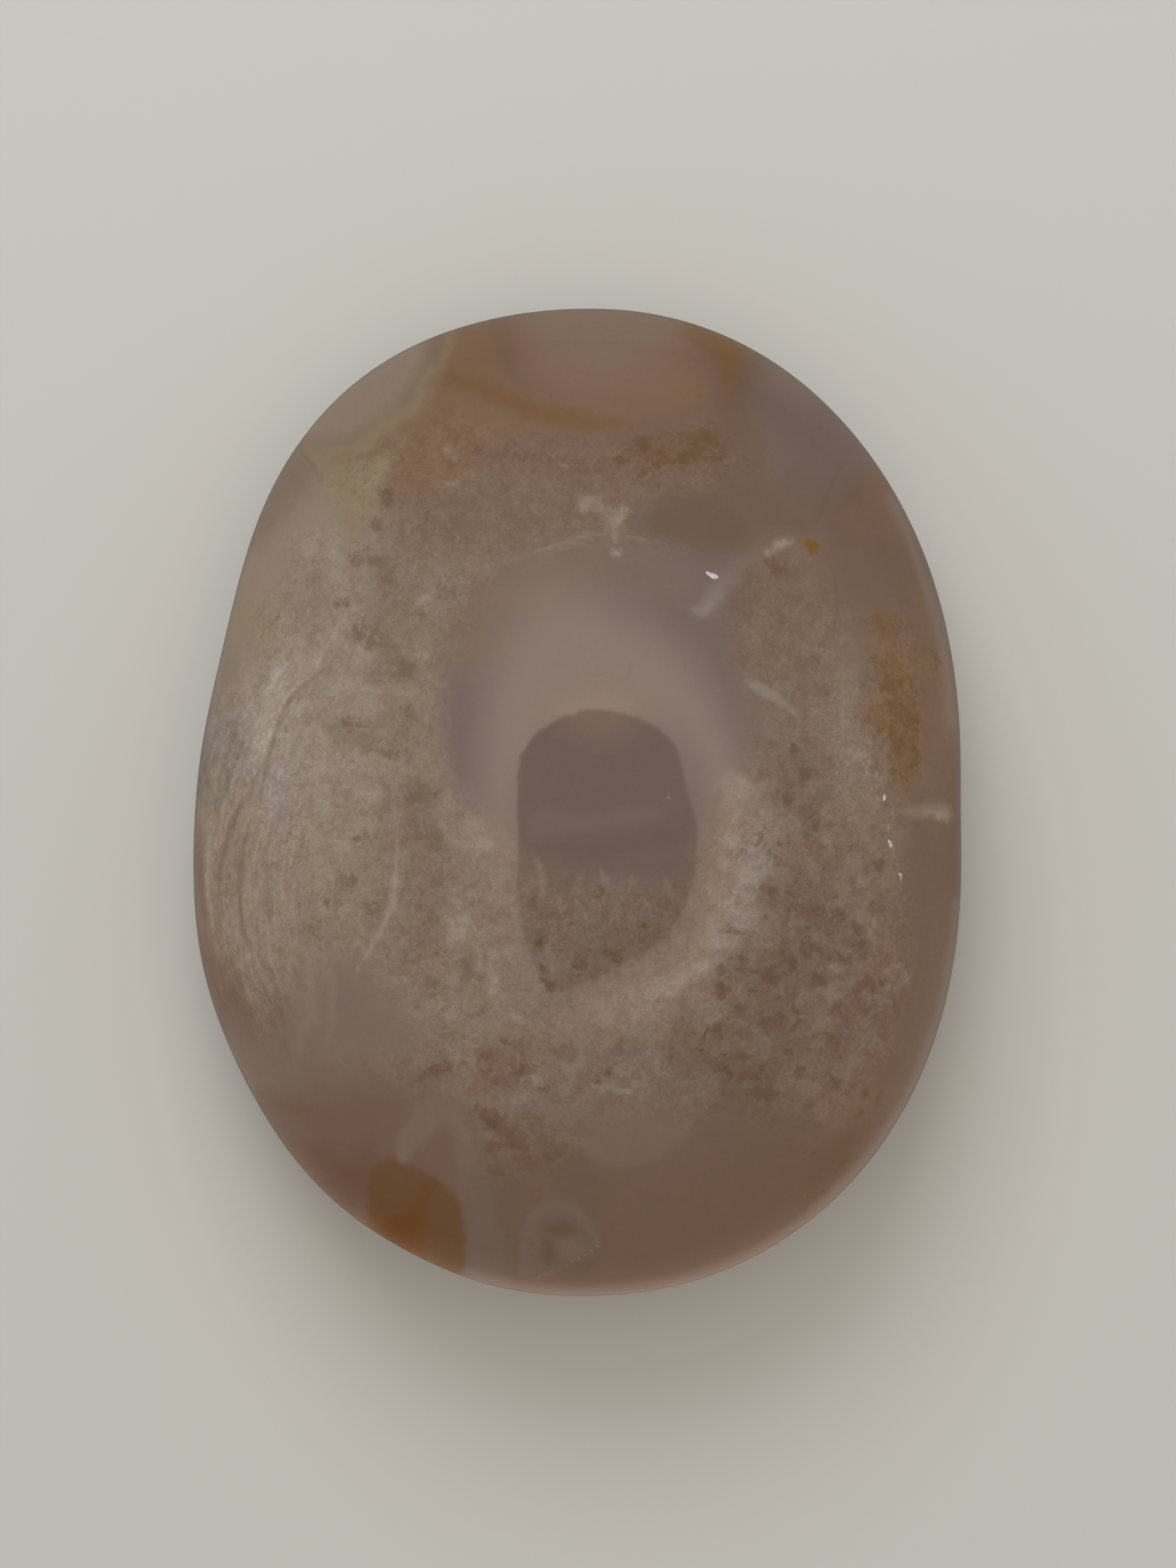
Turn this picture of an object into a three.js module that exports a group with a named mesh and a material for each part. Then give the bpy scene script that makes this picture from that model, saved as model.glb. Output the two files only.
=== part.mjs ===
// A palm stone: one oval pebble of flower agate, cut and polished to fill the palm of a hand.
// It lies flat on a small ground spot. Millimetres, +Z up. The origin is under the middle of
// the stone, on the surface that it rests on. +Y points to its narrower end.
import * as THREE from 'three';
import { mergeVertices } from 'three/addons/utils/BufferGeometryUtils.js';

// Driving dimensions
const LENGTH = 62.0; // end to end, along Y
const WIDTH = 48.2; // side to side, along X
const CROWN_HEIGHT = 12.2; // from the girth, the widest level, up to the summit
const BELLY_DEPTH = 10.8; // from the girth down to the ground spot

// The outline seen from above is a superellipse: 2 would be a plain ellipse, more is squarer.
const OUTLINE_POWER = 2.2;

// Where the hand-cut outline stands proud of the superellipse or falls short of it. Angles run
// counterclockwise from +X. Each swell dies away over about `spread` degrees to both sides.
const OUTLINE_SWELLS = [
  { name: 'flatter upper left side', at: 154, spread: 20, by: -1.0 },
  { name: 'flatter top end', at: 101, spread: 12, by: -0.2 },
  { name: 'full upper right side', at: 33, spread: 20, by: 0.2 },
  { name: 'full lower left side', at: 204, spread: 15, by: 0.4 },
  { name: 'flatter bottom left', at: 250, spread: 11, by: -0.3 },
  { name: 'full lower right shoulder', at: 320, spread: 27, by: 0.65 },
  { name: 'flatter right side', at: 358, spread: 11, by: -0.15 },
];

// The swells fade from the girth to the middle by this power of the share of the way out.
const SWELL_FADE = 3;

// The side wall is rounder than an ellipse, and fullest towards the lower right.
const WALL_POWER = 2.14;
const WALL_POWER_SWING = 0.12;
const FULLEST_SIDE = -45; // degrees

// The summit of the crown and the ground spot lie a little off the middle.
const SUMMIT_SHIFT = new THREE.Vector2(1.2, -0.4);
const GROUND_SPOT_SHIFT = new THREE.Vector2(-0.6, 0.8);

// The ground spot is the outline at this share of its size, about 15 by 19 mm.
const GROUND_SPOT_SHARE = 0.31;

// The grid of facets: lines from pole to pole, and rings from the summit down to the spot.
const SECTORS = 88;
const RINGS = 42;
const GROUND_SPOT_RINGS = 2;

const QUARTER_TURN = Math.PI / 2;
const GROUND_SPOT_ANGLE = (GROUND_SPOT_RINGS * Math.PI) / RINGS;

// How far round the outline an angle is from a swell's middle, 0 to 180 degrees.
function degreesApart(first, second) {
  const turn = Math.abs(first - second) % 360;
  return Math.min(turn, 360 - turn);
}

// Millimetres that the outline stands proud of the superellipse at an angle in degrees.
function swellAt(degrees) {
  let total = 0;
  for (const swell of OUTLINE_SWELLS) {
    const apart = degreesApart(degrees, swell.at) / swell.spread;
    total += swell.by * Math.exp(-(apart ** 2));
  }
  return total;
}

// Distance from the middle out to a point of the surface, along an angle in radians. `share` is
// 0 at the middle and 1 at the girth. The swells are at the girth, and fade towards the middle.
function surfaceRadius(angle, share) {
  const across = Math.abs(Math.cos(angle)) / (WIDTH / 2);
  const along = Math.abs(Math.sin(angle)) / (LENGTH / 2);
  const oval = (across ** OUTLINE_POWER + along ** OUTLINE_POWER) ** (-1 / OUTLINE_POWER);
  return oval * share + swellAt(THREE.MathUtils.radToDeg(angle)) * share ** SWELL_FADE;
}

// How much of the crown's height or the belly's depth is left at a point. `fall` is 0 at the
// middle and a quarter turn at the girth, where the wall is upright.
function wallHeight(fall, angle) {
  const lean = Math.cos(angle - THREE.MathUtils.degToRad(FULLEST_SIDE));
  const power = WALL_POWER + WALL_POWER_SWING * lean * Math.sin(fall) ** 2;
  return Math.max(Math.cos(fall), 0) ** (2 / power);
}

// A point of the crown: `fall` from the summit, out along `angle`.
function crownPoint(fall, angle, target) {
  const share = Math.sin(fall);
  const radius = surfaceRadius(angle, share);
  const shift = 1 - share;
  target.x = Math.cos(angle) * radius + SUMMIT_SHIFT.x * shift;
  target.y = Math.sin(angle) * radius + SUMMIT_SHIFT.y * shift;
  target.z = CROWN_HEIGHT * wallHeight(fall, angle);
}

// A point of the belly: `rise` from the pole of the ground spot. The spot itself is flat, and
// the belly leaves it without an edge.
function bellyPoint(rise, angle, target) {
  const beyondSpot = Math.max(rise - GROUND_SPOT_ANGLE, 0);
  const fall = (beyondSpot * QUARTER_TURN) / (QUARTER_TURN - GROUND_SPOT_ANGLE);
  const spotShare = GROUND_SPOT_SHARE * Math.min(rise / GROUND_SPOT_ANGLE, 1);
  const share = spotShare + (1 - GROUND_SPOT_SHARE) * Math.sin(fall);
  const radius = surfaceRadius(angle, share);
  const shift = 1 - share;
  target.x = Math.cos(angle) * radius + GROUND_SPOT_SHIFT.x * shift;
  target.y = Math.sin(angle) * radius + GROUND_SPOT_SHIFT.y * shift;
  target.z = -BELLY_DEPTH * wallHeight(fall, angle);
}

// A unit ball of facets with its poles on Z, and one vertex where its facets meet.
function facetedBall() {
  const ball = new THREE.SphereGeometry(1, SECTORS, RINGS);
  ball.rotateX(QUARTER_TURN);
  ball.deleteAttribute('normal');
  ball.deleteAttribute('uv');
  return mergeVertices(ball);
}

// The ball's facets, moved out to the surface of the stone.
function palmStoneGeometry() {
  const geometry = facetedBall();
  const vertices = geometry.getAttribute('position');
  const vertex = new THREE.Vector3();
  for (let index = 0; index < vertices.count; index += 1) {
    vertex.fromBufferAttribute(vertices, index);
    const angle = Math.atan2(vertex.y, vertex.x);
    const fromSummit = Math.acos(THREE.MathUtils.clamp(vertex.z, -1, 1));
    if (fromSummit <= QUARTER_TURN) {
      crownPoint(fromSummit, angle, vertex);
    } else {
      bellyPoint(Math.PI - fromSummit, angle, vertex);
    }
    vertices.setXYZ(index, vertex.x, vertex.y, vertex.z);
  }
  geometry.computeVertexNormals();
  return geometry;
}

// Polished agate: mauve-brown, glossy and slightly clear.
function polishedAgate() {
  return new THREE.MeshStandardMaterial({ color: 0x7e6b5d, roughness: 0.12, metalness: 0 });
}

// The stone stands on its ground spot, with the middle of its bounding box over the origin.
function palmStone() {
  const stone = new THREE.Mesh(palmStoneGeometry(), polishedAgate());
  stone.name = 'palm_stone';
  const bounds = new THREE.Box3().setFromObject(stone);
  const middle = bounds.getCenter(new THREE.Vector3());
  stone.position.set(-middle.x, -middle.y, -bounds.min.z);
  return stone;
}

const object = new THREE.Group();
object.add(palmStone());

export default object;
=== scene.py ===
# %% [markdown]
# # A palm stone of flower agate
# The real thing is one pebble, cut from rough agate, ground to an oval and polished until it
# shines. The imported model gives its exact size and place, so it is loaded first and everything
# else is built around it. All lengths are in metres unless a name ends in _mm.

# %% Load the frame
import math

import bpy
import numpy as np
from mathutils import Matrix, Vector, noise
from mathutils.bvhtree import BVHTree


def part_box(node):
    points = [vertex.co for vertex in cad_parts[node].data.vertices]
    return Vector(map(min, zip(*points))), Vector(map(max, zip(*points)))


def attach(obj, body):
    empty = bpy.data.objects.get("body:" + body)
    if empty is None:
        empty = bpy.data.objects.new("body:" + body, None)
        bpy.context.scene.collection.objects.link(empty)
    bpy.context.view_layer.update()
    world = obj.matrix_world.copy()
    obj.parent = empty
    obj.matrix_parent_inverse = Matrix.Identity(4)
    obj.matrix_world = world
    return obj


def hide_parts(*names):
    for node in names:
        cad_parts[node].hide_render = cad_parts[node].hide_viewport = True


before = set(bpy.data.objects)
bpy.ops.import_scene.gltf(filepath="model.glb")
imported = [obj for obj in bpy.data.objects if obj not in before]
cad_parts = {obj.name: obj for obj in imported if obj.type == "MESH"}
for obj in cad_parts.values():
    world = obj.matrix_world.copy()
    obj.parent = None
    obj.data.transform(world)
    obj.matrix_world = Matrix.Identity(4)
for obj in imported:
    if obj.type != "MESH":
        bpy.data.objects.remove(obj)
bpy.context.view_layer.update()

MM = 0.001
STONE_NODE = "palm_stone"
stone_low, stone_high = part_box(STONE_NODE)
print("the stone's box, mm:", [round(side / MM, 1) for side in (stone_high - stone_low)])

# %% [markdown]
# ## The camera
# The photograph looks straight down on the stone. A long lens from 30 cm keeps the outline true,
# because a short one close by would swell the middle. The camera is placed so that the stone's
# outline falls on the same part of the frame as in the photograph, with no lens shift.

# %% Place the camera
PHOTO_WIDTH_PX = 1659
PHOTO_HEIGHT_PX = 2212
OUTLINE_LEFT_PX = 273
OUTLINE_RIGHT_PX = 1355.5
OUTLINE_TOP_PX = 436
OUTLINE_BOTTOM_PX = 1827
GIRTH_HEIGHT = 10.8 * MM
CAMERA_ABOVE_GIRTH = 0.30
SENSOR_MM = 36.0

px_per_metre = (OUTLINE_BOTTOM_PX - OUTLINE_TOP_PX) / (stone_high.y - stone_low.y)
outline_middle_x_px = (OUTLINE_LEFT_PX + OUTLINE_RIGHT_PX) / 2
outline_middle_y_px = (OUTLINE_TOP_PX + OUTLINE_BOTTOM_PX) / 2
camera_spot = Vector((
    (PHOTO_WIDTH_PX / 2 - outline_middle_x_px) / px_per_metre,
    (outline_middle_y_px - PHOTO_HEIGHT_PX / 2) / px_per_metre,
    GIRTH_HEIGHT + CAMERA_ABOVE_GIRTH,
))
camera_data = bpy.data.cameras.new("camera_above")
camera_data.sensor_width = SENSOR_MM
camera_data.lens = SENSOR_MM * CAMERA_ABOVE_GIRTH * px_per_metre / PHOTO_HEIGHT_PX
camera_above = bpy.data.objects.new("camera_above", camera_data)
camera_above.location = camera_spot
scene = bpy.context.scene
scene.collection.objects.link(camera_above)
scene.camera = camera_above
scene.view_settings.view_transform = "Standard"
print("lens, mm:", round(camera_data.lens, 1), "px per mm:", round(px_per_metre * MM, 2))

# %% [markdown]
# ## The form of the pebble
# A pebble could be sculpted from a ball with a subdivision surface, but its outline has to agree
# with the model's to a tenth of a millimetre. So the skin uses the formula of the model itself:
# a superellipse seen from above, with a few swells where the hand-ground outline leaves it, and
# a round wall that is fullest towards the lower right. NumPy works out all points at once.

# %% The outline and the wall
LENGTH_MM = 62.0
WIDTH_MM = 48.2
CROWN_HEIGHT_MM = 12.2
BELLY_DEPTH_MM = 10.8
OUTLINE_POWER = 2.2
SWELL_FADE = 3
OUTLINE_SWELLS = {
    "flatter upper left side": (154, 20, -1.0),
    "flatter top end": (101, 12, -0.2),
    "full upper right side": (33, 20, 0.2),
    "full lower left side": (204, 15, 0.4),
    "flatter bottom left": (250, 11, -0.3),
    "full lower right shoulder": (320, 27, 0.65),
    "flatter right side": (358, 11, -0.15),
}
WALL_POWER = 2.14
WALL_POWER_SWING = 0.12
FULLEST_SIDE = math.radians(-45)
SUMMIT_SHIFT_MM = np.array((1.2, -0.4))
GROUND_SPOT_SHIFT_MM = np.array((-0.6, 0.8))
GROUND_SPOT_SHARE = 0.31
WALK_STEPS = 400


def swell_mm(angles):
    """How far the outline stands proud of the superellipse, at angles in radians."""
    total = np.zeros_like(angles)
    for middle, spread, rise in OUTLINE_SWELLS.values():
        apart = (np.degrees(angles) - middle + 180) % 360 - 180
        total += rise * np.exp(-((apart / spread) ** 2))
    return total


def reach_mm(angles, share):
    """Distance out from the middle at a share of the way to the girth."""
    across = np.abs(np.cos(angles)) / (WIDTH_MM / 2)
    along = np.abs(np.sin(angles)) / (LENGTH_MM / 2)
    plain_reach = (across**OUTLINE_POWER + along**OUTLINE_POWER) ** (-1 / OUTLINE_POWER)
    return plain_reach * share + swell_mm(angles) * share**SWELL_FADE


def wall_share(fall, angles):
    """Share of the crown's height, or of the belly's depth, at an angle of fall from the pole."""
    lean = np.cos(angles - FULLEST_SIDE) * math.sin(fall) ** 2
    return max(math.cos(fall), 0.0) ** (2 / (WALL_POWER + WALL_POWER_SWING * lean))


def even_falls(radius, height, count):
    """Angles of fall from pole to girth whose rings are evenly spaced along the wall."""
    fine = np.linspace(0, math.pi / 2, WALK_STEPS)
    pace = np.hypot(radius * np.cos(fine), height * np.sin(fine))
    walked = np.concatenate([[0], np.cumsum((pace[1:] + pace[:-1]) / 2)])
    return np.interp(np.linspace(0, walked[-1], count + 1), walked, fine)


# %% [markdown]
# The skin is a grid of rings and sectors, finest on the crown where the markings are looked at
# most. Each ring knows its share of the way out, which later tells crown from belly. The crown
# also gets faint hollows, a few hundredths of a millimetre deep, because no hand polish is quite
# even and they bend the reflections a little.

# %% Lay the rings from the summit to the ground spot
SECTORS = 460
CROWN_RINGS = 158
BELLY_RINGS = 42
SPOT_RINGS = 6
MEAN_REACH_MM = 27.0
RIPPLE_MM = 0.02
RIPPLE_LENGTHS_MM = (9.0, 13.0)
RIPPLE_SLANTS = (0.4, -0.3)
RIPPLE_START = 1.0

sector_angles = np.linspace(0, 2 * math.pi, SECTORS, endpoint=False)


def ripple_mm(x, y):
    """The faint hollows that polishing by hand leaves: two waves that cross, never above 0."""
    first = np.sin(2 * math.pi * (x + RIPPLE_SLANTS[0] * y) / RIPPLE_LENGTHS_MM[0])
    second = np.sin(2 * math.pi * (y + RIPPLE_SLANTS[1] * x) / RIPPLE_LENGTHS_MM[1] + RIPPLE_START)
    return RIPPLE_MM * (first + second - 2)


def ring_points(share, height_mm, shift, waviness):
    """One ring of the skin, in mm, with heights measured from the girth."""
    out = reach_mm(sector_angles, share)
    x = np.cos(sector_angles) * out + shift[0] * (1 - share)
    y = np.sin(sector_angles) * out + shift[1] * (1 - share)
    return np.stack([x, y, height_mm + waviness * ripple_mm(x, y)], axis=1)


rings = []
ring_shares = []
for fall in even_falls(MEAN_REACH_MM, CROWN_HEIGHT_MM, CROWN_RINGS)[1:]:
    heights = CROWN_HEIGHT_MM * wall_share(fall, sector_angles)
    rings.append(ring_points(math.sin(fall), heights, SUMMIT_SHIFT_MM, math.cos(fall)))
    ring_shares.append(math.sin(fall))
girth_ring = len(rings) - 1
belly_reach_mm = MEAN_REACH_MM * (1 - GROUND_SPOT_SHARE)
for fall in even_falls(belly_reach_mm, BELLY_DEPTH_MM, BELLY_RINGS)[-2::-1]:
    share = GROUND_SPOT_SHARE + (1 - GROUND_SPOT_SHARE) * math.sin(fall)
    heights = -BELLY_DEPTH_MM * wall_share(fall, sector_angles)
    rings.append(ring_points(share, heights, GROUND_SPOT_SHIFT_MM, 0.0))
    ring_shares.append(share)
for step in range(SPOT_RINGS - 1, 0, -1):
    share = GROUND_SPOT_SHARE * step / SPOT_RINGS
    rings.append(ring_points(share, -BELLY_DEPTH_MM, GROUND_SPOT_SHIFT_MM, 0.0))
    ring_shares.append(share)
print("rings:", len(rings), "points:", len(rings) * SECTORS + 2)

# %% [markdown]
# The points become one closed mesh: a fan of triangles at each pole and quads between rings.
# The model's own box tells where the grid has to go. The model is made of flat facets, so its box
# is a few thousandths of a millimetre smaller than the round skin, which is fitted to it.

# %% Join the rings into the skin
summit_point = np.array([[*SUMMIT_SHIFT_MM, CROWN_HEIGHT_MM]])
spot_point = np.array([[*GROUND_SPOT_SHIFT_MM, -BELLY_DEPTH_MM]])
skin_mm = np.concatenate([summit_point, *rings, spot_point])
last = len(skin_mm) - 1


def ring_vertex(ring, sector):
    """The number of a point of the skin. The summit is 0, and a ring closes on itself."""
    return 1 + ring * SECTORS + sector % SECTORS


faces = []
lowest_ring = len(rings) - 1
for sector in range(SECTORS):
    faces.append((0, ring_vertex(0, sector), ring_vertex(0, sector + 1)))
    faces.append((last, ring_vertex(lowest_ring, sector + 1), ring_vertex(lowest_ring, sector)))
for ring in range(len(rings) - 1):
    for sector in range(SECTORS):
        upper = ring_vertex(ring, sector)
        upper_next = ring_vertex(ring, sector + 1)
        lower = ring_vertex(ring + 1, sector)
        lower_next = ring_vertex(ring + 1, sector + 1)
        faces.append((upper, lower, lower_next, upper_next))

box_middle_mm = (skin_mm.min(axis=0) + skin_mm.max(axis=0)) / 2
box_size_mm = skin_mm.max(axis=0) - skin_mm.min(axis=0)
cad_middle_mm = np.array((stone_low + stone_high) / 2) / MM
cad_size_mm = np.array(stone_high - stone_low) / MM
stone_mm = (skin_mm - box_middle_mm) * cad_size_mm / box_size_mm + cad_middle_mm
print("the grid is fitted to the model's box by", np.round(cad_size_mm / box_size_mm, 5))
skin = bpy.data.meshes.new("agate_skin")
skin.from_pydata([tuple(point) for point in stone_mm * MM], [], faces)
skin.shade_smooth()
skin.update()
agate_stone = bpy.data.objects.new("agate_stone", skin)
scene.collection.objects.link(agate_stone)
print("skin triangles:", sum(len(face) - 2 for face in faces))

# %% [markdown]
# ## Maps for the markings
# Agate's colours are in the stone, not on it, so a marking has a place and a shape. I note each
# one on a map in millimetres, with its origin under the middle of the stone, like a sketch on
# squared paper. An image texture would be quicker, but it would only ever be a picture of one side.
# The crown map is the stone as seen from above, unrolled past the girth so that markings run on
# round the side. The belly has a map of its own, and the two blend below the girth.

# %% Two maps and how they blend
BELLY_BLEND_START = 1.08
BELLY_BLEND_END = 1.34
camera_mm = np.array(camera_spot) / MM
shares = np.concatenate([[0.0], np.repeat(ring_shares, SECTORS), [0.0]])
rise_mm = np.maximum(stone_mm[:, 2] - GIRTH_HEIGHT / MM, 0.0)
is_belly = np.arange(len(stone_mm)) > ring_vertex(girth_ring, SECTORS - 1)

seen_scale = CAMERA_ABOVE_GIRTH / MM / (CAMERA_ABOVE_GIRTH / MM - rise_mm)
crown_map = camera_mm[:2] + (stone_mm[:, :2] - camera_mm[:2]) * seen_scale[:, None]
girth_start = ring_vertex(girth_ring, 0)
girth_xy = np.tile(stone_mm[girth_start:girth_start + SECTORS, :2], (len(rings), 1))
girth_xy = np.concatenate([girth_xy[:1], girth_xy, girth_xy[:1]])
unrolled = np.where(is_belly, 2 - shares, shares)
crown_map = np.where(is_belly[:, None], girth_xy * unrolled[:, None], crown_map)
belly_map = stone_mm[:, :2]


def ease(value, start, end):
    """0 up to start, 1 from end on, and an even curve between them."""
    t = np.clip((value - start) / (end - start), 0, 1)
    return t * t * (3 - 2 * t)


belly_weight = np.where(is_belly, ease(unrolled, BELLY_BLEND_START, BELLY_BLEND_END), 0.0)
print("points of the belly map:", int((belly_weight > 0.5).sum()))

# %% [markdown]
# Three measuring tools are enough for all markings. They tell how deep a point lies inside an
# oval, inside a brush stroke of changing width, or inside a drawn outline. All answer in
# millimetres, positive inside, so an edge can be made as soft or as sharp as it should be.

# %% Measure ovals, brush strokes and outlines
FAR_MM = 4.0
STEPS_PER_SPAN = 8
RIM_POINTS = 12
TINY = 1e-6


def oval(x, y, half_x, half_y, turn=0.0):
    """An oval, turned counterclockwise by degrees."""
    cos, sin = math.cos(math.radians(turn)), math.sin(math.radians(turn))

    def depth(map_mm):
        away = map_mm - (x, y)
        u = (away[:, 0] * cos + away[:, 1] * sin) / half_x
        v = (-away[:, 0] * sin + away[:, 1] * cos) / half_y
        share = np.maximum(np.hypot(u, v), TINY)
        to_the_edge = (1 - share) * np.hypot(away[:, 0], away[:, 1]) / share
        return np.minimum(to_the_edge, min(half_x, half_y))

    return depth


def smooth_curve(points, closed=False):
    """A Catmull-Rom curve through the points."""
    p = np.array(points, float)
    if closed:
        p = np.concatenate([p[-1:], p, p[:2]])
    else:
        p = np.concatenate([[2 * p[0] - p[1]], p, [2 * p[-1] - p[-2]]])
    t = np.linspace(0, 1, STEPS_PER_SPAN, endpoint=False)[:, None]
    spans = []
    for a, b, c, d in zip(p[:-3], p[1:-2], p[2:-1], p[3:]):
        bend = (2 * a - 5 * b + 4 * c - d) * t**2 + (3 * b - a - 3 * c + d) * t**3
        spans.append(b + ((c - a) * t + bend) / 2)
    return np.concatenate([*spans, p[-2:-1]])


def nearest_on_curve(map_mm, curve):
    """Signed distance to a curve, and how far along it that is."""
    best = np.full(len(map_mm), np.inf)
    side = np.zeros(len(map_mm))
    along = np.zeros(len(map_mm))
    walked = 0.0
    for a, b in zip(curve[:-1, :2], curve[1:, :2]):
        step = b - a
        length = max(math.hypot(*step), TINY)
        away = map_mm - a
        t = np.clip(away @ step / length**2, 0, 1)
        gap = np.hypot(*(away - t[:, None] * step).T)
        turn = np.sign(step[0] * away[:, 1] - step[1] * away[:, 0])
        closer = gap < best
        best = np.where(closer, gap, best)
        side = np.where(closer, turn, side)
        along = np.where(closer, walked + t * length, along)
        walked += length
    return best * side, along


def near_curve(map_mm, curve):
    """Which points are close enough to a curve to be measured."""
    low = curve[:, :2].min(axis=0) - FAR_MM
    high = curve[:, :2].max(axis=0) + FAR_MM
    return np.all((map_mm > low) & (map_mm < high), axis=1)


def stroke(*points):
    """A brush stroke through points, each of them (x, y, half width)."""
    curve = smooth_curve(points)
    walked = np.concatenate([[0], np.cumsum(np.hypot(*np.diff(curve[:, :2], axis=0).T))])

    def depth(map_mm):
        near = near_curve(map_mm, curve)
        result = np.full(len(map_mm), -FAR_MM)
        across, along = nearest_on_curve(map_mm[near], curve)
        result[near] = np.interp(along, walked, curve[:, 2]) - np.abs(across)
        return result

    return depth


def along_the_rim(start, end, inset, half_width):
    """A brush stroke that follows the edge of the stone, between two angles in degrees."""
    angles = np.radians(np.linspace(start, end, RIM_POINTS))
    out = reach_mm(angles, 1.0) - inset
    middle_x, middle_y = (cad_middle_mm - box_middle_mm)[:2]
    x = middle_x + out * np.cos(angles)
    y = middle_y + out * np.sin(angles)
    return stroke(*zip(x, y, np.full(RIM_POINTS, half_width)))


def outline(*points):
    """A closed outline drawn smoothly through points."""
    curve = smooth_curve(points, closed=True)

    def depth(map_mm):
        near = near_curve(map_mm, curve)
        result = np.full(len(map_mm), -FAR_MM)
        x, y = map_mm[near].T
        across = nearest_on_curve(map_mm[near], curve)[0]
        inside = np.zeros(len(x), bool)
        for a, b in zip(curve[:-1], curve[1:]):
            level_with = (a[1] > y) != (b[1] > y)
            if level_with.any():
                inside ^= level_with & (x < (b[0] - a[0]) * (y - a[1]) / (b[1] - a[1]) + a[0])
        result[near] = np.where(inside, np.abs(across), -np.abs(across))
        return result

    return depth


# %% [markdown]
# Nothing in a stone has an edge as even as a drawn one. A noise in the stone itself leads each
# point of the map a little astray, in waves of several sizes, and a marking can take as much of
# that wander as suits it: none for a smooth lens, much for a patch of crystals. Blender's noise
# vectors start from the clock unless they are seeded, so the seed keeps every run the same.

# %% Let the map wander
WANDER_SEED = 9
WANDER_WAVES_MM = {3.4: 0.7, 1.3: 0.40, 0.6: 0.26}
noise.seed_set(WANDER_SEED)
wander_mm = np.zeros((len(stone_mm), 2))
for wave_length, reach in WANDER_WAVES_MM.items():
    lumps = [noise.noise_vector(Vector(point) / wave_length)[:2] for point in stone_mm]
    wander_mm += reach * np.array(lumps)


def ragged(map_mm, wander):
    """The map with its points led astray, so that an even shape comes out ragged."""
    return map_mm + wander * wander_mm


print("the map wanders by up to, mm:", round(float(np.hypot(*wander_mm.T).max()), 2))

# %% [markdown]
# ## The palette
# I name the colours the way they look on the stone in soft light. Part of what the eye sees there
# is light thrown back by the polish, a little more of it blue than red, so that is taken off
# first. The rest is the stone's own.

# %% Mix the palette
POLISH_GLOW = np.array((0.014, 0.0155, 0.017))
DARKEST = 0.003


def agate_colour(red, green, blue):
    """The stone's own share of a colour that is seen on it, 0 to 255 for each channel.

    The sRGB curve turns what a screen shows into amounts of light.
    """
    seen = np.array([red, green, blue]) / 255
    linear = np.where(seen <= 0.04045, seen / 12.92, ((seen + 0.055) / 1.055) ** 2.4)
    return np.maximum(linear - POLISH_GLOW, DARKEST)


PALETTE = {
    "mauve brown": agate_colour(111, 89, 76),
    "rose brown": agate_colour(113, 89, 78),
    "dark rose": agate_colour(103, 79, 67),
    "plum": agate_colour(115, 94, 82),
    "red brown": agate_colour(105, 80, 68),
    "dark brown": agate_colour(98, 80, 65),
    "brown crystal": agate_colour(113, 94, 78),
    "cream grey": agate_colour(133, 116, 101),
    "cream": agate_colour(143, 127, 112),
    "milk": agate_colour(158, 145, 133),
    # partly painted sheen: the pale crystals of the arc on the right, brightened by the panel's
    # reflection
    "frost with painted sheen": agate_colour(139, 123, 113),
    "rim grey": agate_colour(131, 117, 107),
    # painted light, for the pale rim line at the lower end
    "cool rim light": agate_colour(119, 104, 95),
    "lilac": agate_colour(145, 130, 122),
    "warm grey": agate_colour(124, 105, 91),
    "green grey": agate_colour(115, 97, 83),
    "dark grey": agate_colour(107, 88, 74),
    "bubble lavender": agate_colour(117, 100, 93),
    "lavender": agate_colour(113, 96, 88),
    "pale lavender": agate_colour(121, 103, 92),
    "blue grey": agate_colour(113, 100, 90),
    "pale blue": agate_colour(140, 127, 116),
    "plume blue": agate_colour(128, 113, 106),
    "petal": agate_colour(119, 100, 87),
    "blue petal": agate_colour(110, 92, 82),
    "pink grey": agate_colour(121, 99, 84),
    "dusky pink": agate_colour(118, 93, 78),
    "rosy glow": agate_colour(127, 107, 96),
    "lens pink": agate_colour(127, 99, 82),
    "lens grey": agate_colour(127, 107, 92),
    "pale lens": agate_colour(137, 119, 104),
    "straw": agate_colour(136, 119, 95),
    "tan": agate_colour(124, 98, 76),
    "rust": agate_colour(116, 87, 59),
    "ochre": agate_colour(116, 89, 60),
    "rusty brown": agate_colour(103, 77, 56),
    "burnt orange": agate_colour(104, 71, 47),
    "deep orange": agate_colour(98, 64, 35),
    "bright ochre": agate_colour(118, 87, 40),
    "moss": agate_colour(101, 83, 58),
    "olive green": agate_colour(128, 111, 91),
    "olive": agate_colour(104, 80, 54),
}
print("palette:", len(PALETTE), "colours")

# %% [markdown]
# ## The body colour
# Under the fine pattern, the stone drifts slowly from colour to colour: a cream heart of crystals
# on the left, lavender chalcedony in the middle, mauve brown at the bottom. Soft clouds of palette
# colours, laid over each other in order, give that drift. Each mark in the lists below has a
# colour, a softness in mm, a strength from 0 to 1, a share of the wander, and a shape.

# %% Lay marks on a map
def lay(marks, colour, map_mm):
    """The colours after a list of marks has been laid over them."""
    for paint_name, softness, strength, wander, shape in marks.values():
        cover = strength * ease(shape(ragged(map_mm, wander)), -softness, softness)
        colour = colour + (PALETTE[paint_name] - colour) * cover[:, None]
    return colour


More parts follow.
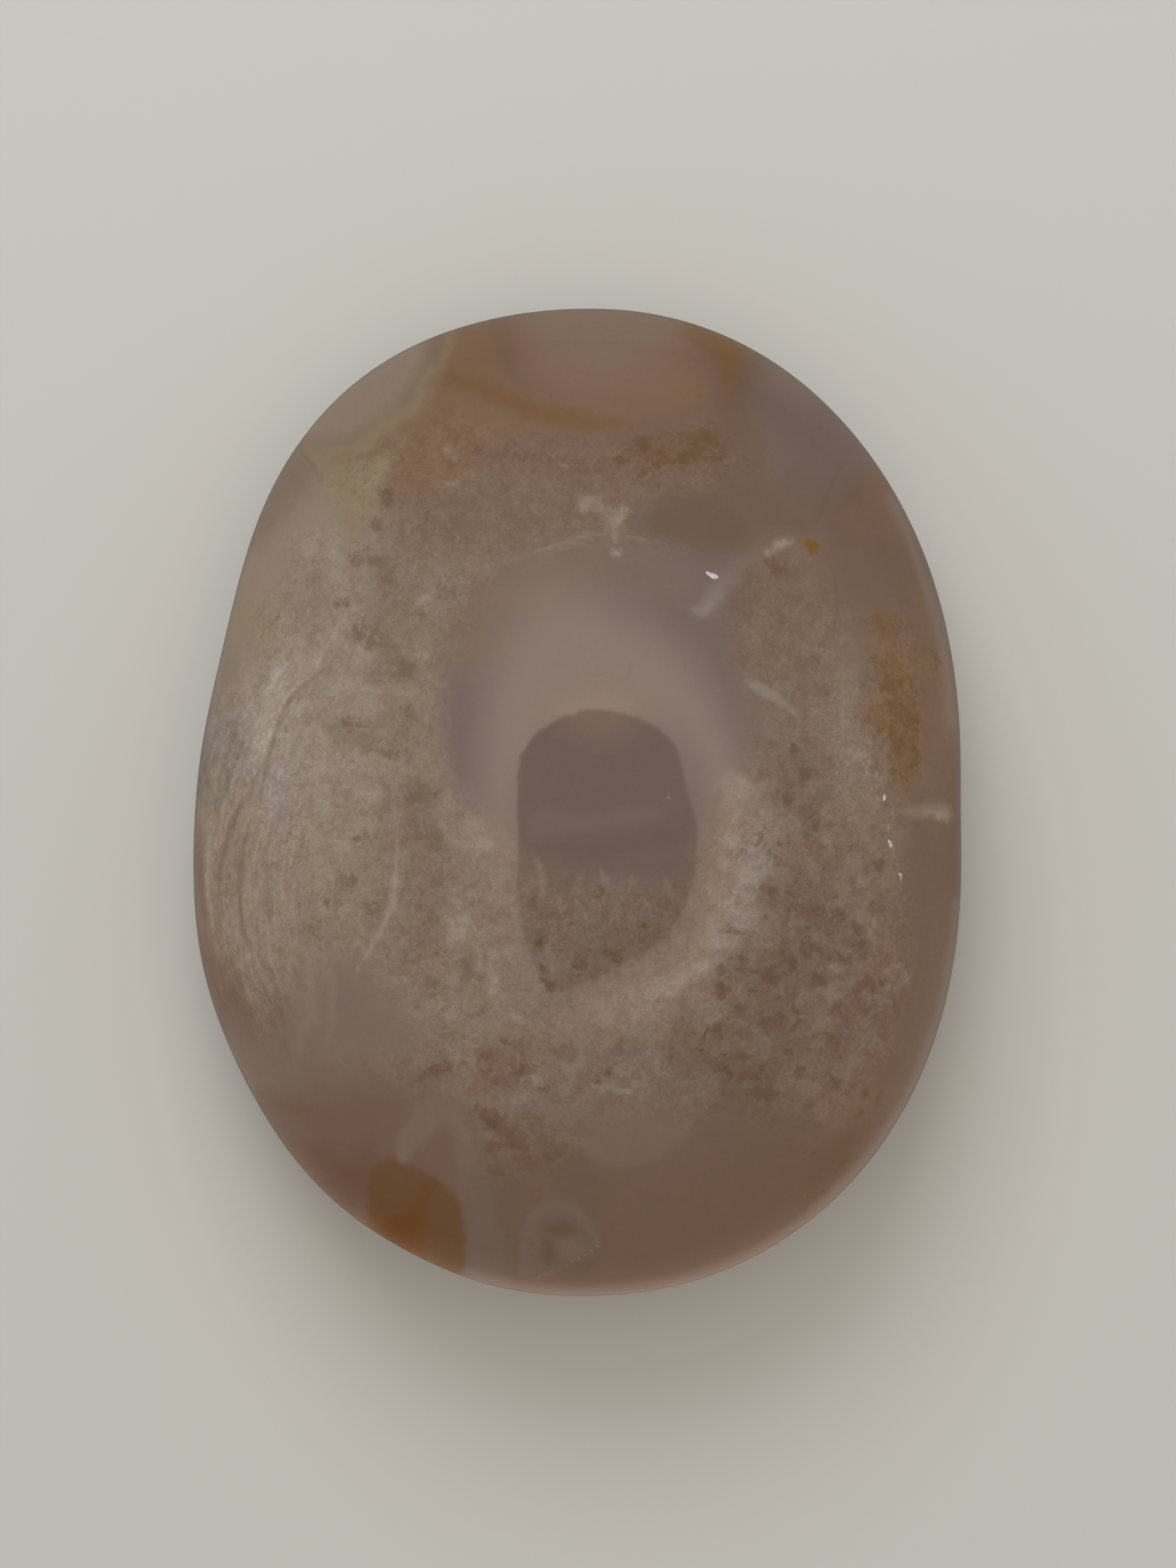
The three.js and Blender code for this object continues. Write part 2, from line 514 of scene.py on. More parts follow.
BODY_CLOUDS = {
    "crystal heart": ("cream grey", 5.0, 1.0, 1.5, oval(-9, 1.5, 16, 20, 8)),
    "crystals of the right": ("warm grey", 4.5, 0.9, 1.5, oval(14.5, -1, 9, 15)),
    "crystals below": ("warm grey", 4.0, 0.9, 1.5, oval(1, -14.5, 12, 6)),
    "milky left flank": ("milk", 3.0, 0.35, 1.0, oval(-19.5, 6, 3.2, 8, -8)),
    "cream column": ("cream", 3.0, 0.95, 1.5, oval(-15, 4, 3, 10)),
    "grey by the ring": ("pale lavender", 1.4, 0.9, 1.0, stroke(
        (-6.0, 0.5, 0.5), (-5.4, -3, 1.2), (-5.0, -7, 1.4), (-3.8, -11, 1.0), (0, -13.6, 0.8),
        (4, -13, 0.6)
    )),
    "grey upper flank": ("cream", 3.0, 0.8, 1.0, oval(-18, 16, 4, 6, -30)),
    "blue left rim": ("rim grey", 1.5, 0.9, 0.5, outline(
        (-25, 8), (-22.8, 6.6), (-20.6, 5), (-20.0, 2.6), (-21, 0.8), (-23, 0.2), (-26, 1)
    )),
    "dark blue left rim": ("blue grey", 0.8, 0.8, 0.3, stroke(
        (-24.2, 6.5, 0.3), (-24.0, 3.5, 0.7), (-23.6, 0.6, 0.9)
    )),
    "mauve left rim": ("plum", 0.6, 0.8, 0.4, outline(
        (-24.8, -1), (-23.9, -2.5), (-23.6, -5), (-22.9, -7.5), (-22.2, -9.5), (-21.9, -12),
        (-21.6, -13.6), (-23, -15.4), (-26, -15), (-27, -6)
    )),
    "banded left flank": ("cream", 2.0, 0.75, 1.0, oval(-20.6, -5.0, 2.4, 7.5, 6)),
    "grey lower flank": ("pale lavender", 1.6, 0.9, 1.0, oval(-19.8, -16.0, 2.6, 2.2)),
    "crystals of the top": ("pink grey", 3.0, 0.9, 1.5, oval(-2, 19.0, 11, 4.5)),
    "tan right shoulder": ("tan", 1.6, 0.4, 1.0, oval(20.0, 8.5, 1.4, 3.4)),
    "rosy lower right": ("plum", 4.0, 0.6, 1.5, oval(15.5, -12, 6.0, 7, 10)),
    "green lower right": ("green grey", 2.5, 0.45, 1.5, oval(10.5, -13, 4.0, 4.0)),
    "dark lower right": ("dark grey", 2.5, 0.8, 1.5, oval(9.5, -17.8, 4.5, 2.6)),
    "cream low heart": ("cream grey", 3.0, 0.6, 2.0, oval(-7, -11.5, 6, 3.4)),
    "grey pool": ("pale lavender", 2.2, 0.9, 1.5, oval(1.2, -8.5, 5.5, 5.0)),
    "dark pool": ("dark grey", 1.8, 0.25, 1.5, oval(3.5, -8.6, 2.8, 2.4, 30)),
    "rose beside the lower rim": ("pink grey", 2.0, 0.8, 1.2, oval(16.8, -18.4, 3.0, 2.4)),
    "crystals of the left wall": ("cream grey", 2.5, 0.8, 2.0, oval(-30, 3, 4.0, 12)),
    "crystals of the right wall": ("warm grey", 2.5, 0.8, 2.0, oval(30, 0, 4.0, 11)),
    "crystals of the lower wall": ("warm grey", 2.5, 0.8, 2.0, oval(3, -36.5, 10, 3.6)),
    "crystals of the upper wall": ("pink grey", 2.5, 0.8, 2.0, oval(16, 33.5, 6, 4, -40)),
}
body = np.tile(PALETTE["mauve brown"], (len(stone_mm), 1))
crown_colour = lay(BODY_CLOUDS, body, crown_map)
print("clouds:", len(BODY_CLOUDS))

# %% [markdown]
# ## The lavender bubble
# The middle of the crown is a clear lens of lavender chalcedony, like a bubble that rose through
# the stone. A thin pale seam closes it at the top, and two milky plumes curl off its right side.

# %% Lay the bubble and its plumes
BUBBLE_MARKS = {
    "rosy skin above": ("pink grey", 1.2, 0.8, 0.5, outline(
        (9.5, 21), (12, 24), (15, 17), (14, 14), (11, 14.5)
    )),
    "dark lens": ("dark grey", 1.1, 0.9, 0.4, outline(
        (3.6, 16.8), (4.0, 18.2), (5.6, 19.3), (8, 19.4), (10, 18.6), (11.2, 16.8), (10.2, 15.9),
        (7, 15.9)
    )),
    "blue corner of it": ("blue grey", 0.6, 0.6, 0.4, oval(3.9, 17.5, 0.6, 0.9)),
    "bubble": ("bubble lavender", 1.2, 1.0, 0.4, outline(
        (-4.6, 14.6), (-2, 15.6), (1, 16.7), (4.5, 16.4), (8, 15.4), (10.8, 15.2), (9.4, 12.5),
        (10.2, 9), (11.4, 5.8), (10.4, 2), (8.8, 0.2), (7.6, -2.4), (7.0, -4.8), (5, -5.2),
        (1, -4.8), (-2.4, -4.8), (-5.0, -1.6), (-7.4, 1), (-8.3, 3), (-8.3, 7), (-7.2, 10.6)
    )),
    "brown shoulder of it": ("warm grey", 1.4, 1.0, 0.8, outline(
        (-8.6, 8.8), (-8.4, 12), (-6.4, 14.4), (-2.4, 15.6), (-1.6, 13.2), (-4.6, 11.4),
        (-5.8, 8.6), (-7, 7.8)
    )),
    "grey crown of it": ("pale lavender", 1.2, 0.9, 0.5, outline(
        (-3.6, 14.8), (1, 16.4), (7, 15.3), (6.4, 12.6), (0, 13.2), (-3, 13)
    )),
    "warm lip of it": ("warm grey", 0.8, 0.5, 0.6, outline(
        (-4, 14.9), (0, 16.3), (3, 16.6), (1.5, 14.9), (-2, 14.2)
    )),
    # Painted reflection: a faint dark band just outside the left edge of the panel's mirror image,
    # where the polish mirrors darker surroundings.
    "painted dark edge of the panel's image": ("lavender", 0.7, 0.15, 0.3, stroke(
        (-7.9, 8.2, 0.1), (-7.9, 5.5, 0.4), (-7.5, 2.4, 0.5), (-6.9, 0.6, 0.3)
    )),
    "pale right side": ("warm grey", 0.9, 0.7, 0.8, oval(11.2, 8.3, 1.2, 2.0, 10)),
    "warm top of the dark patch": ("rosy glow", 1.4, 1.0, 0.5, oval(1.4, 5.3, 2.4, 1.6)),
    "pale band": ("lilac", 0.5, 0.12, 0.3, outline(
        (-2.9, -0.5), (0, -0.6), (3.4, -0.4), (5.0, -0.2), (5.4, -0.9), (3.4, -1.5), (0, -1.9),
        (-2.8, -2.3)
    )),
    "dusk under the band": ("lavender", 0.6, 0.6, 0.5, stroke(
        (-2, -2.9, 0.3), (2, -2.8, 0.6), (6.6, -2.0, 0.5)
    )),
    "crystals growing in": ("pale lavender", 0.9, 0.8, 1.8, outline(
        (-4.2, -4.2), (-1.6, -4.8), (1, -5.0), (3.6, -4.9), (6.6, -5.0), (7, -6.6), (3, -7.2),
        (-3.6, -7.4)
    )),
    "pale crystals low left": ("warm grey", 0.8, 0.6, 1.6, oval(-1.9, -6.6, 0.8, 2.4)),
    "fork of crystals": ("lilac", 0.6, 0.35, 1.4, oval(-6.6, -2.0, 0.8, 0.9, -30)),
    "plume": ("plume blue", 0.5, 0.5, 0.3, stroke(
        (7.3, 12.0, 0.2), (8.2, 12.6, 0.5), (9.2, 13.7, 0.5), (10.4, 14.8, 0.4), (11.8, 15.7, 0.4),
        (13.2, 16.4, 0.35)
    )),
    "bright foot of the plume": ("pale blue", 0.5, 0.5, 0.4, stroke(
        (7.2, 12.1, 0.1), (7.9, 12.1, 0.4), (8.5, 12.8, 0.4), (9.0, 13.7, 0.1)
    )),
    "white head of the plume": ("cream grey", 0.5, 0.6, 0.5, oval(12.8, 16.1, 0.9, 0.45, 25)),
    "haze round the knot": ("cream", 0.5, 0.3, 1.0, oval(2.4, 17.6, 0.6, 1.2, 5)),
    "haze left of the knot": ("cream", 0.5, 0.2, 1.0, oval(0.6, 18.7, 0.8, 0.5)),
    "haze by the streak": ("pale lavender", 0.8, 0.9, 0.5, oval(11.6, 5.2, 1.4, 2.4, 30)),
}
crown_colour = lay(BUBBLE_MARKS, crown_colour, crown_map)
print("bubble marks:", len(BUBBLE_MARKS))

# %% [markdown]
# ## The top end
# Round pink and blue-grey lenses meet at the top rim. Iron has stained the seams between them,
# and the olive blotches below, where it soaked into the crystals.

# %% Lay the lenses and stains of the top end
TOP_MARKS = {
    "blue lens": ("lavender", 1.4, 1.0, 0.3, outline(
        (12.2, 28.5), (16, 26.5), (20.5, 21.5), (17.5, 20.2), (16, 18.6), (14.8, 17.4),
        (13.2, 18.4), (12.2, 20.6), (11.5, 23.5), (11.2, 26)
    )),
    "warm foot of it": ("mauve brown", 1.2, 0.45, 0.3, oval(14.2, 19.0, 1.3, 1.9, 25)),
    "pale top of it": ("pale lavender", 1.2, 0.7, 0.3, oval(13.6, 26.4, 2.0, 1.2, -35)),
    "rosy wedge": ("dusky pink", 0.5, 0.85, 0.3, outline(
        (19.0, 21.6), (21.8, 18.8), (20.8, 16.6), (18.2, 16.6), (16.6, 17.8), (17.8, 19.4)
    )),
    "grey below it": ("plum", 2.0, 0.7, 0.5, oval(18.4, 14.4, 3.2, 2.8)),
    "pink by the plume": ("pink grey", 1.4, 0.8, 1.0, oval(13.6, 13.6, 2.8, 2.8)),
    "grey crystals by the plume": ("pink grey", 1.4, 0.7, 1.2, oval(12.2, 10.6, 2.2, 2.4)),
    "tan by the lenses": ("tan", 0.8, 0.9, 0.5, outline(
        (-9.0, 31), (-8, 32), (-5.4, 31), (-5, 27.4), (-3, 25.6), (3, 24.4), (3, 23.4), (-4, 23.0),
        (-7, 20.6), (-10.6, 19.6), (-11.8, 19.4), (-11.4, 21.6), (-10.1, 24), (-8.9, 26.4)
    )),
    "dusk under the arc": ("dusky pink", 1.2, 0.9, 1.0, outline(
        (-6.5, 21.6), (-4, 23.0), (2, 23.0), (6, 24), (9.6, 24), (9.4, 21.6), (6, 20.6), (2, 20.7),
        (-3, 20.8)
    )),
    "deeper at the left": ("tan", 0.6, 0.5, 1.4, outline(
        (-11, 22.6), (-8.4, 23.4), (-7.8, 21), (-9, 20), (-11, 19.4)
    )),
    "pink lens": ("lens pink", 2.0, 1.0, 0.3, outline(
        (-4.4, 33), (-4.2, 28.6), (-3.2, 26.4), (-0.8, 25.0), (3, 24.4), (6.8, 24.7), (8.2, 26.2),
        (7.8, 28.2), (7.2, 30.2), (6.5, 33)
    )),
    "grey top of the lens": ("lens grey", 1.8, 1.0, 0.3, oval(1.6, 30.4, 4.6, 3.2)),
    "pale rim of the tan": ("straw", 0.6, 0.7, 0.5, stroke(
        (6.6, 30.2, 0.3), (8.6, 29.6, 0.5), (10.8, 28.6, 0.4)
    )),
    "warm foot of the lens": ("tan", 0.9, 0.6, 0.5, stroke(
        (1.8, 25.0, 0.3), (5, 25.2, 0.6), (7.4, 25.6, 0.8)
    )),
    "dark skin right of the lens": ("mauve brown", 1.0, 0.9, 0.8, outline(
        (9.4, 24.4), (11, 23.4), (12.0, 20.6), (14.4, 17.2), (12.6, 17.0), (11.0, 17.6),
        (9.6, 18.6), (9.0, 21.4)
    )),
    "brown under the lens": ("olive", 0.8, 0.45, 1.5, oval(6.4, 22.2, 3.0, 0.9, 6)),
    "pale edge of the tan": ("straw", 0.4, 0.55, 0.5, stroke(
        (-8.0, 30, 0.3), (-8.3, 28.0, 0.3), (-9.1, 26.0, 0.2), (-10.2, 23.9, 0.1),
        (-11.4, 21.8, 0.05)
    )),
    "pale knot in the tan": ("cream", 0.25, 0.6, 0.8, oval(-8.2, 21.9, 0.22, 0.45)),
    "pale fleck under it": ("cream", 0.25, 0.6, 0.8, oval(-8.1, 19.85, 0.5, 0.16)),
}
crown_colour = lay(TOP_MARKS, crown_colour, crown_map)
print("top marks:", len(TOP_MARKS))

# %% [markdown]
# ## The upper left
# A grey lens lies against the rim, over a band stained olive and a patch the colour of straw.
# Clots of darker crystal lie between it and the bubble.

# %% Lay the upper left
UPPER_LEFT_MARKS = {
    "grey lens": ("pale lens", 0.9, 1.0, 0.3, outline(
        (-19.5, 24), (-16.8, 22.6), (-14.4, 22.8), (-12, 24.1), (-10.2, 26.2), (-9.4, 28.6),
        (-9.9, 31.5), (-16, 29)
    )),
    "pale seam of the lens": ("cream grey", 0.5, 0.4, 0.3, stroke(
        (-9.0, 30, 0.3), (-9.0, 28, 0.3), (-9.8, 26, 0.2)
    )),
    "straw patch": ("straw", 0.7, 0.9, 1.0, outline(
        (-16.6, 21.4), (-14, 21), (-11.8, 21.9), (-12.4, 19.6), (-13.0, 17.6), (-14.6, 16.4),
        (-15.4, 18.4), (-15.8, 20)
    )),
    "straw seam": ("straw", 0.6, 0.9, 0.6, stroke(
        (-17.4, 22, 0.4), (-15.6, 21.6, 0.6), (-12.6, 22.9, 0.7), (-10.4, 24.8, 0.5),
        (-9.2, 27.2, 0.3)
    )),
    "brown in the seam": ("tan", 0.5, 0.6, 1.0, stroke(
        (-15, 21.3, 0.1), (-12.6, 22.2, 0.4), (-10.9, 23.5, 0.5), (-9.4, 25.3, 0.4),
        (-8.5, 26.6, 0.3)
    )),
    "grey rim below it": ("warm grey", 1.0, 0.8, 0.5, outline(
        (-18.6, 22.4), (-17, 20.4), (-18, 18), (-21, 16), (-21.5, 20)
    )),
    "pale patch below it": ("cream", 1.0, 0.4, 0.8, oval(-17.2, 17.2, 1.4, 1.6)),
    "brown left rim": ("straw", 1.2, 0.6, 1.0, oval(-20.2, 11.4, 1.4, 1.9)),
    "clot by the bubble": ("warm grey", 1.0, 0.45, 1.8, oval(-11.6, 13.6, 1.9, 2.3, 15)),
    "clot beside the ring": ("warm grey", 0.8, 0.5, 1.6, oval(-10.8, 8.6, 1.6, 1.1)),
    "clots under the tan": ("warm grey", 0.8, 0.5, 1.8, oval(-9.6, 16.4, 2.6, 0.9)),
    "rose mottle": ("pink grey", 1.0, 0.5, 1.2, oval(-5, 17.4, 3.6, 1.3)),
}
crown_colour = lay(UPPER_LEFT_MARKS, crown_colour, crown_map)
print("upper left marks:", len(UPPER_LEFT_MARKS))

# %% [markdown]
# ## The left flank and the heart
# The heart of the stone is pale crystal, mottled with brown. Towards the left it ends at a seam,
# and the flank beyond shows the agate's layers, edge on.

# %% Lay the left flank and the heart
HEART_MARKS = {
    "white patch on the flank": ("milk", 0.9, 0.7, 1.0, outline(
        (-18.4, 8.8), (-19.4, 7), (-20.8, 5.6), (-20.2, 2.4), (-19, 3.4), (-17.8, 6.4)
    )),
    "white spot": ("milk", 0.4, 0.4, 0.8, oval(-18.7, 8.0, 0.3, 0.5, -20)),
    "lilac below it": ("lilac", 0.7, 0.8, 0.8, oval(-18.7, 0.4, 0.8, 2.2, -8)),
    "green tinge": ("straw", 1.2, 0.35, 1.2, oval(-14.6, -3.0, 2.0, 3.0)),
    "green patch by the column": ("olive green", 0.9, 0.7, 1.8, oval(-14.3, 4.2, 1.8, 1.3, -20)),
    "green patch further right": ("olive green", 0.9, 0.7, 1.8, oval(-11.2, 4.6, 1.3, 1.6)),
    "green patch above": ("olive green", 0.9, 0.6, 1.8, oval(-10.2, 10.2, 1.6, 2.0)),
    "green patch low": ("olive green", 0.9, 0.6, 1.8, oval(-12.6, -5.4, 1.2, 1.6)),
    "brown of the column": ("warm grey", 0.9, 0.35, 1.4, oval(-16.8, 12.6, 1.6, 1.8)),
    "brown spot middle": ("warm grey", 0.7, 0.9, 1.4, oval(-10.0, 0.4, 1.2, 1.1)),
    "shadow by the seam": ("warm grey", 0.6, 0.6, 0.8, oval(-12.1, -2.2, 0.5, 3.0, -4)),
    "brown right of the seam": ("warm grey", 1.0, 0.9, 1.6, oval(-9.6, -4.2, 1.9, 4.0)),
    "brown low heart": ("warm grey", 1.2, 0.7, 1.6, oval(-9.4, -9.6, 2.2, 2.4)),
    "pale crystals by the ring": ("cream", 0.6, 0.4, 1.6, oval(-7.2, -7.8, 0.9, 1.8, 20)),
    "pale crystals low": ("cream", 0.6, 0.4, 1.6, oval(-5.2, -10.8, 0.6, 1.3)),
    "grey left of the dark tip": ("warm grey", 1.2, 0.4, 1.4, oval(-4.8, -6.0, 1.4, 3.0)),
    # Partly painted highlight: real pale crystals, whose rough polish spreads the overhead panel's
    # reflection into a bright arc round its lower right. That brightness is painted here as a pale
    # frost colour.
    "pale crystals right with painted sheen": ("frost with painted sheen", 1.2, 0.8, 1.6, stroke(
        (10.2, 1.6, 0.5), (11.0, -1.0, 0.9), (10.9, -4.0, 1.1), (10.2, -6.8, 1.1), (9.2, -8.8, 0.9),
        (7.4, -11.0, 0.6), (5.4, -12.6, 0.7)
    )),
    # Painted shade: a lavender darkening just right of the dark card's mirror image, where the card
    # shades the panel's reflection.
    "painted shade beside the card's image": ("lavender", 1.0, 0.3, 0.5, oval(8.5, 0.8, 0.9, 2.0)),
    "green crystals at the foot": ("warm grey", 1.2, 0.4, 1.6, oval(3.0, -13.0, 4.4, 1.2, 10)),
    "lavender lower left": ("pale lavender", 2.2, 1.0, 0.8, outline(
        (-15.2, -10.2), (-13.6, -10.4), (-12, -12.2), (-10.6, -14.2), (-10.6, -15.6),
        (-12.4, -16.2), (-15, -16.4), (-17.6, -16.2), (-17.0, -13.2)
    )),
    "pale feather in it": ("cream grey", 0.5, 0.55, 0.9, stroke(
        (-15.3, -9.2, 0.2), (-15.2, -12, 0.3), (-15.7, -15, 0.05)
    )),
    "pale feather left of it": ("cream grey", 0.6, 0.6, 0.9, stroke(
        (-17.0, -9, 0.4), (-16.8, -12, 0.35), (-17.4, -16.0, 0.1)
    )),
    "feather right of it": ("warm grey", 0.5, 0.6, 0.9, stroke(
        (-13.6, -9.6, 0.3), (-13.2, -12, 0.2), (-13.4, -14.4, 0.05)
    )),
    "feather further right": ("warm grey", 0.5, 0.5, 0.9, stroke(
        (-11.6, -12.6, 0.4), (-11.6, -14.4, 0.3), (-12, -16.4, 0.05)
    )),
}
crown_colour = lay(HEART_MARKS, crown_colour, crown_map)
print("heart marks:", len(HEART_MARKS))

# %% [markdown]
# ## The lower end
# The lower end is smooth. Three petals, which gave flower agate its name, grow up from the rim:
# an arch at the left, a ring in the middle, and a broad lobe above. Rust fills the corner under
# the arch.

# %% Lay the petals
LOWER_MARKS = {
    "rose lower left": ("rose brown", 2.4, 1.0, 0.8, outline(
        (-22, -23.0), (-18.2, -20.4), (-14.4, -17.8), (-11.6, -17.2), (-9.6, -17.8), (-9.6, -19.6),
        (-10.2, -22), (-11.6, -23.4), (-12.5, -30), (-24, -24)
    )),
    "pale rim of the rose": ("plum", 0.8, 0.9, 0.5, stroke(
        (-20.0, -18.4, 0.3), (-18.2, -20.0, 0.6), (-16.6, -21.0, 0.5)
    )),
    "grey above the rose": ("pale lavender", 1.0, 0.9, 0.6, oval(-19.4, -16.4, 1.6, 1.6)),
    "dark rose": ("dark rose", 1.2, 0.8, 0.6, outline(
        (-17, -22), (-15, -22.4), (-13.2, -21.8), (-12.6, -23.2), (-13.2, -26), (-15, -26)
    )),
    "rust corner": ("rusty brown", 0.3, 1.0, 0.3, outline(
        (-13.2, -23.6), (-12.4, -22.7), (-11.2, -22.6), (-10, -23.2), (-8.8, -23.6), (-8.0, -24.3),
        (-7.3, -25.2), (-6.9, -26.4), (-6.85, -28.4), (-7.2, -32), (-14, -31), (-13.2, -26)
    )),
    "rust deeper": ("burnt orange", 0.5, 0.9, 0.6, outline(
        (-12.6, -25.4), (-11.8, -26.0), (-11.0, -25.9), (-10.4, -25.0), (-9.9, -24.2),
        (-9.1, -24.0), (-9.3, -25.6), (-9.6, -27.4), (-10.2, -31), (-12.6, -31)
    )),
    "deepest rust": ("deep orange", 0.8, 0.8, 0.6, oval(-11.4, -27.2, 0.9, 1.0, -30)),
    "rose under the mottle": ("pink grey", 0.8, 0.8, 1.4, oval(-5.0, -17.0, 1.9, 1.4)),
    "plum under the mottle": ("dark rose", 0.8, 0.5, 1.4, stroke(
        (-6.2, -19.4, 0.3), (-4.6, -20.8, 0.7), (-3.2, -22.6, 0.5)
    )),
    "grey under the mottle": ("dark grey", 1.4, 0.8, 1.0, oval(-4.2, -26, 1.0, 3.4)),
    "grey wedge": ("dark grey", 0.9, 0.8, 0.6, outline(
        (-3, -20.6), (-0.4, -21.6), (1.0, -23.2), (1.6, -24.6), (1.2, -30), (-1, -30),
        (-1.4, -24.5)
    )),
    "lobe": ("petal", 0.35, 0.8, 0.2, outline(
        (-0.4, -21.2), (0.5, -22.1), (1.5, -22.6), (2.6, -22.85), (3.8, -22.8), (5.2, -22.4),
        (6.6, -21.2), (7.4, -19.8), (6.2, -17.6), (3, -16.8), (-0.4, -17.6), (-2.4, -19.4),
        (-1.4, -20.6)
    )),
    "rose beside the lobe": ("rose brown", 0.9, 0.7, 0.6, outline(
        (4.8, -23.0), (6.6, -21.4), (8.2, -20.4), (9.4, -20.8), (8.0, -23), (5.6, -24.2),
        (3, -24.2)
    )),
    "top of the lobe": ("pale lavender", 1.2, 0.9, 1.6, outline(
        (7.4, -19.0), (4.4, -18.8), (1, -18.8), (-3, -20), (-4, -17), (3, -15.5), (8, -17)
    )),
    "inside of the arch": ("rose brown", 0.5, 0.9, 0.6, outline(
        (-9.7, -22.9), (-9.3, -21.6), (-8.6, -21.0), (-7.9, -21.4), (-7.7, -23.2), (-8.0, -24.2),
        (-8.8, -23.5)
    )),
    "arch": ("petal", 0.3, 1.0, 0.4, stroke(
        (-10.8, -22.4, 0.4), (-10.5, -21.2, 0.75), (-9.6, -20.0, 0.8), (-8.4, -19.3, 0.8),
        (-7.4, -19.3, 0.6), (-7.0, -20.2, 0.3)
    )),
    "right limb of the arch": ("petal", 0.5, 0.7, 0.4, stroke(
        (-7.6, -20.0, 0.4), (-7.1, -21.6, 0.6), (-6.8, -23.4, 0.7), (-6.4, -24.6, 0.7)
    )),
    "blue foot of the arch": ("blue petal", 0.45, 1.0, 0.3, stroke(
        (-6.5, -23.6, 0.6), (-6.1, -25.4, 0.9), (-5.9, -27, 1.1), (-5.6, -29, 1.2),
        (-5.4, -31, 1.2)
    )),
    "ring petal": ("blue petal", 0.3, 0.8, 0.2, outline(
        (-3.3, -26.6), (-2.6, -25.5), (-1.5, -25.0), (-0.4, -25.1), (0.4, -25.9), (1.0, -26.9),
        (1.45, -27.8), (0.4, -28.6), (-1.2, -29.4), (-2.8, -30.2), (-3.6, -29)
    )),
    "dark heart of the ring": ("dark rose", 0.5, 0.8, 0.5, oval(-1.1, -26.7, 1.0, 0.5)),
    "dark stem of the ring": ("dark rose", 0.4, 0.8, 0.5, oval(-2.0, -28.2, 0.4, 0.9)),
    "pale heart of the ring": ("petal", 0.4, 0.4, 0.4, oval(-0.4, -28.0, 0.7, 0.6)),
}
crown_colour = lay(LOWER_MARKS, crown_colour, crown_map)
print("lower marks:", len(LOWER_MARKS))

# %% [markdown]
# ## The right side
# On the right the crystals are coarser, with dark red and olive patches like dried berries. A
# stain of ochre lies over the shoulder, and the rim is plum.

# %% Lay the right side
RIGHT_MARKS = {
    "cream column of the right": ("cream grey", 0.9, 0.6, 1.2, oval(16.7, 5, 0.9, 3.8, -3)),
    "pale crystals under it": ("cream grey", 1.2, 0.4, 1.4, oval(17.6, -0.4, 1.2, 2.6, -5)),
    "dark crystals": ("green grey", 1.0, 0.4, 1.6, oval(14.2, 1.6, 1.4, 2.4)),
    "plum right rim": ("plum", 0.8, 0.9, 0.4, outline(
        (21.2, 1), (22.4, -1.6), (26, -2), (26, -18), (21, -17.5), (20.3, -13), (20.9, -10),
        (21.0, -7), (20.7, -4)
    )),
    "dark edge of the right rim": ("dark rose", 0.8, 0.5, 0.4, stroke(
        (24.2, 3, 0.6), (24.0, -1, 0.9), (23.8, -5, 0.9), (23.4, -9, 0.2)
    )),
    "brown right rim": ("tan", 1.0, 0.5, 0.6, stroke(
        (21.6, 13, 0.3), (22.6, 8, 0.7), (22.6, 3, 0.5)
    )),
    "tan shade": ("tan", 0.8, 0.65, 1.8, outline(
        (17.9, 9.4), (18.2, 11.6), (20.0, 11.2), (20.7, 9.6), (21.8, 8.2), (21.8, 5), (21.6, 1.9),
        (20.4, 0.8), (19.5, 1.6), (19.4, 3.6), (18.2, 4.4), (18.4, 5.8), (19.1, 6.6), (19.1, 8.0)
    )),
    "ochre shade": ("ochre", 0.5, 0.6, 1.8, outline(
        (19.3, 7.8), (20.4, 8.2), (21.4, 7.8), (21.5, 5.6), (21.4, 2.2), (20.3, 1.0), (19.7, 1.8),
        (19.8, 3.9), (18.6, 4.6), (19.3, 6.2)
    )),
    "ochre above": ("ochre", 0.7, 0.4, 1.4, oval(19.0, 10.8, 1.0, 0.9)),
    "pink crystals": ("pink grey", 1.0, 0.7, 1.4, oval(18.8, -8.5, 1.2, 3.0)),
    "olive rim": ("olive", 0.9, 0.25, 1.2, stroke(
        (19.2, -18.4, 0.4), (17, -21.6, 0.8), (15, -24.6, 0.7), (13.8, -26.4, 0.3)
    )),
    "streak on the rim": ("cream grey", 0.4, 0.95, 0.5, stroke(
        (20.6, -0.3, 0.15), (21.8, -0.6, 0.35), (23.0, -0.9, 0.45)
    )),
    # Painted light along the edge: a pale rim highlight at the upper right, and a pale rim line at the
    # lower end, where the edge mirrors the sheet at a grazing angle.
    "painted rim highlight of the upper right": ("rim grey", 0.45, 0.45, 0.3, along_the_rim(12, 44, 0.5, 0.3)),
    "painted rim line of the lower end": ("cool rim light", 0.3, 0.6, 0.2, along_the_rim(257, 345, 0.2, 0.35)),
}
crown_colour = lay(RIGHT_MARKS, crown_colour, crown_map)
print("right marks:", len(RIGHT_MARKS))

# %% [markdown]
# ## The belly
# The underside is hidden while the stone lies, so it is invented: the same colours and the same
# crystals go on, with a lavender lens and a rusty seam of its own.

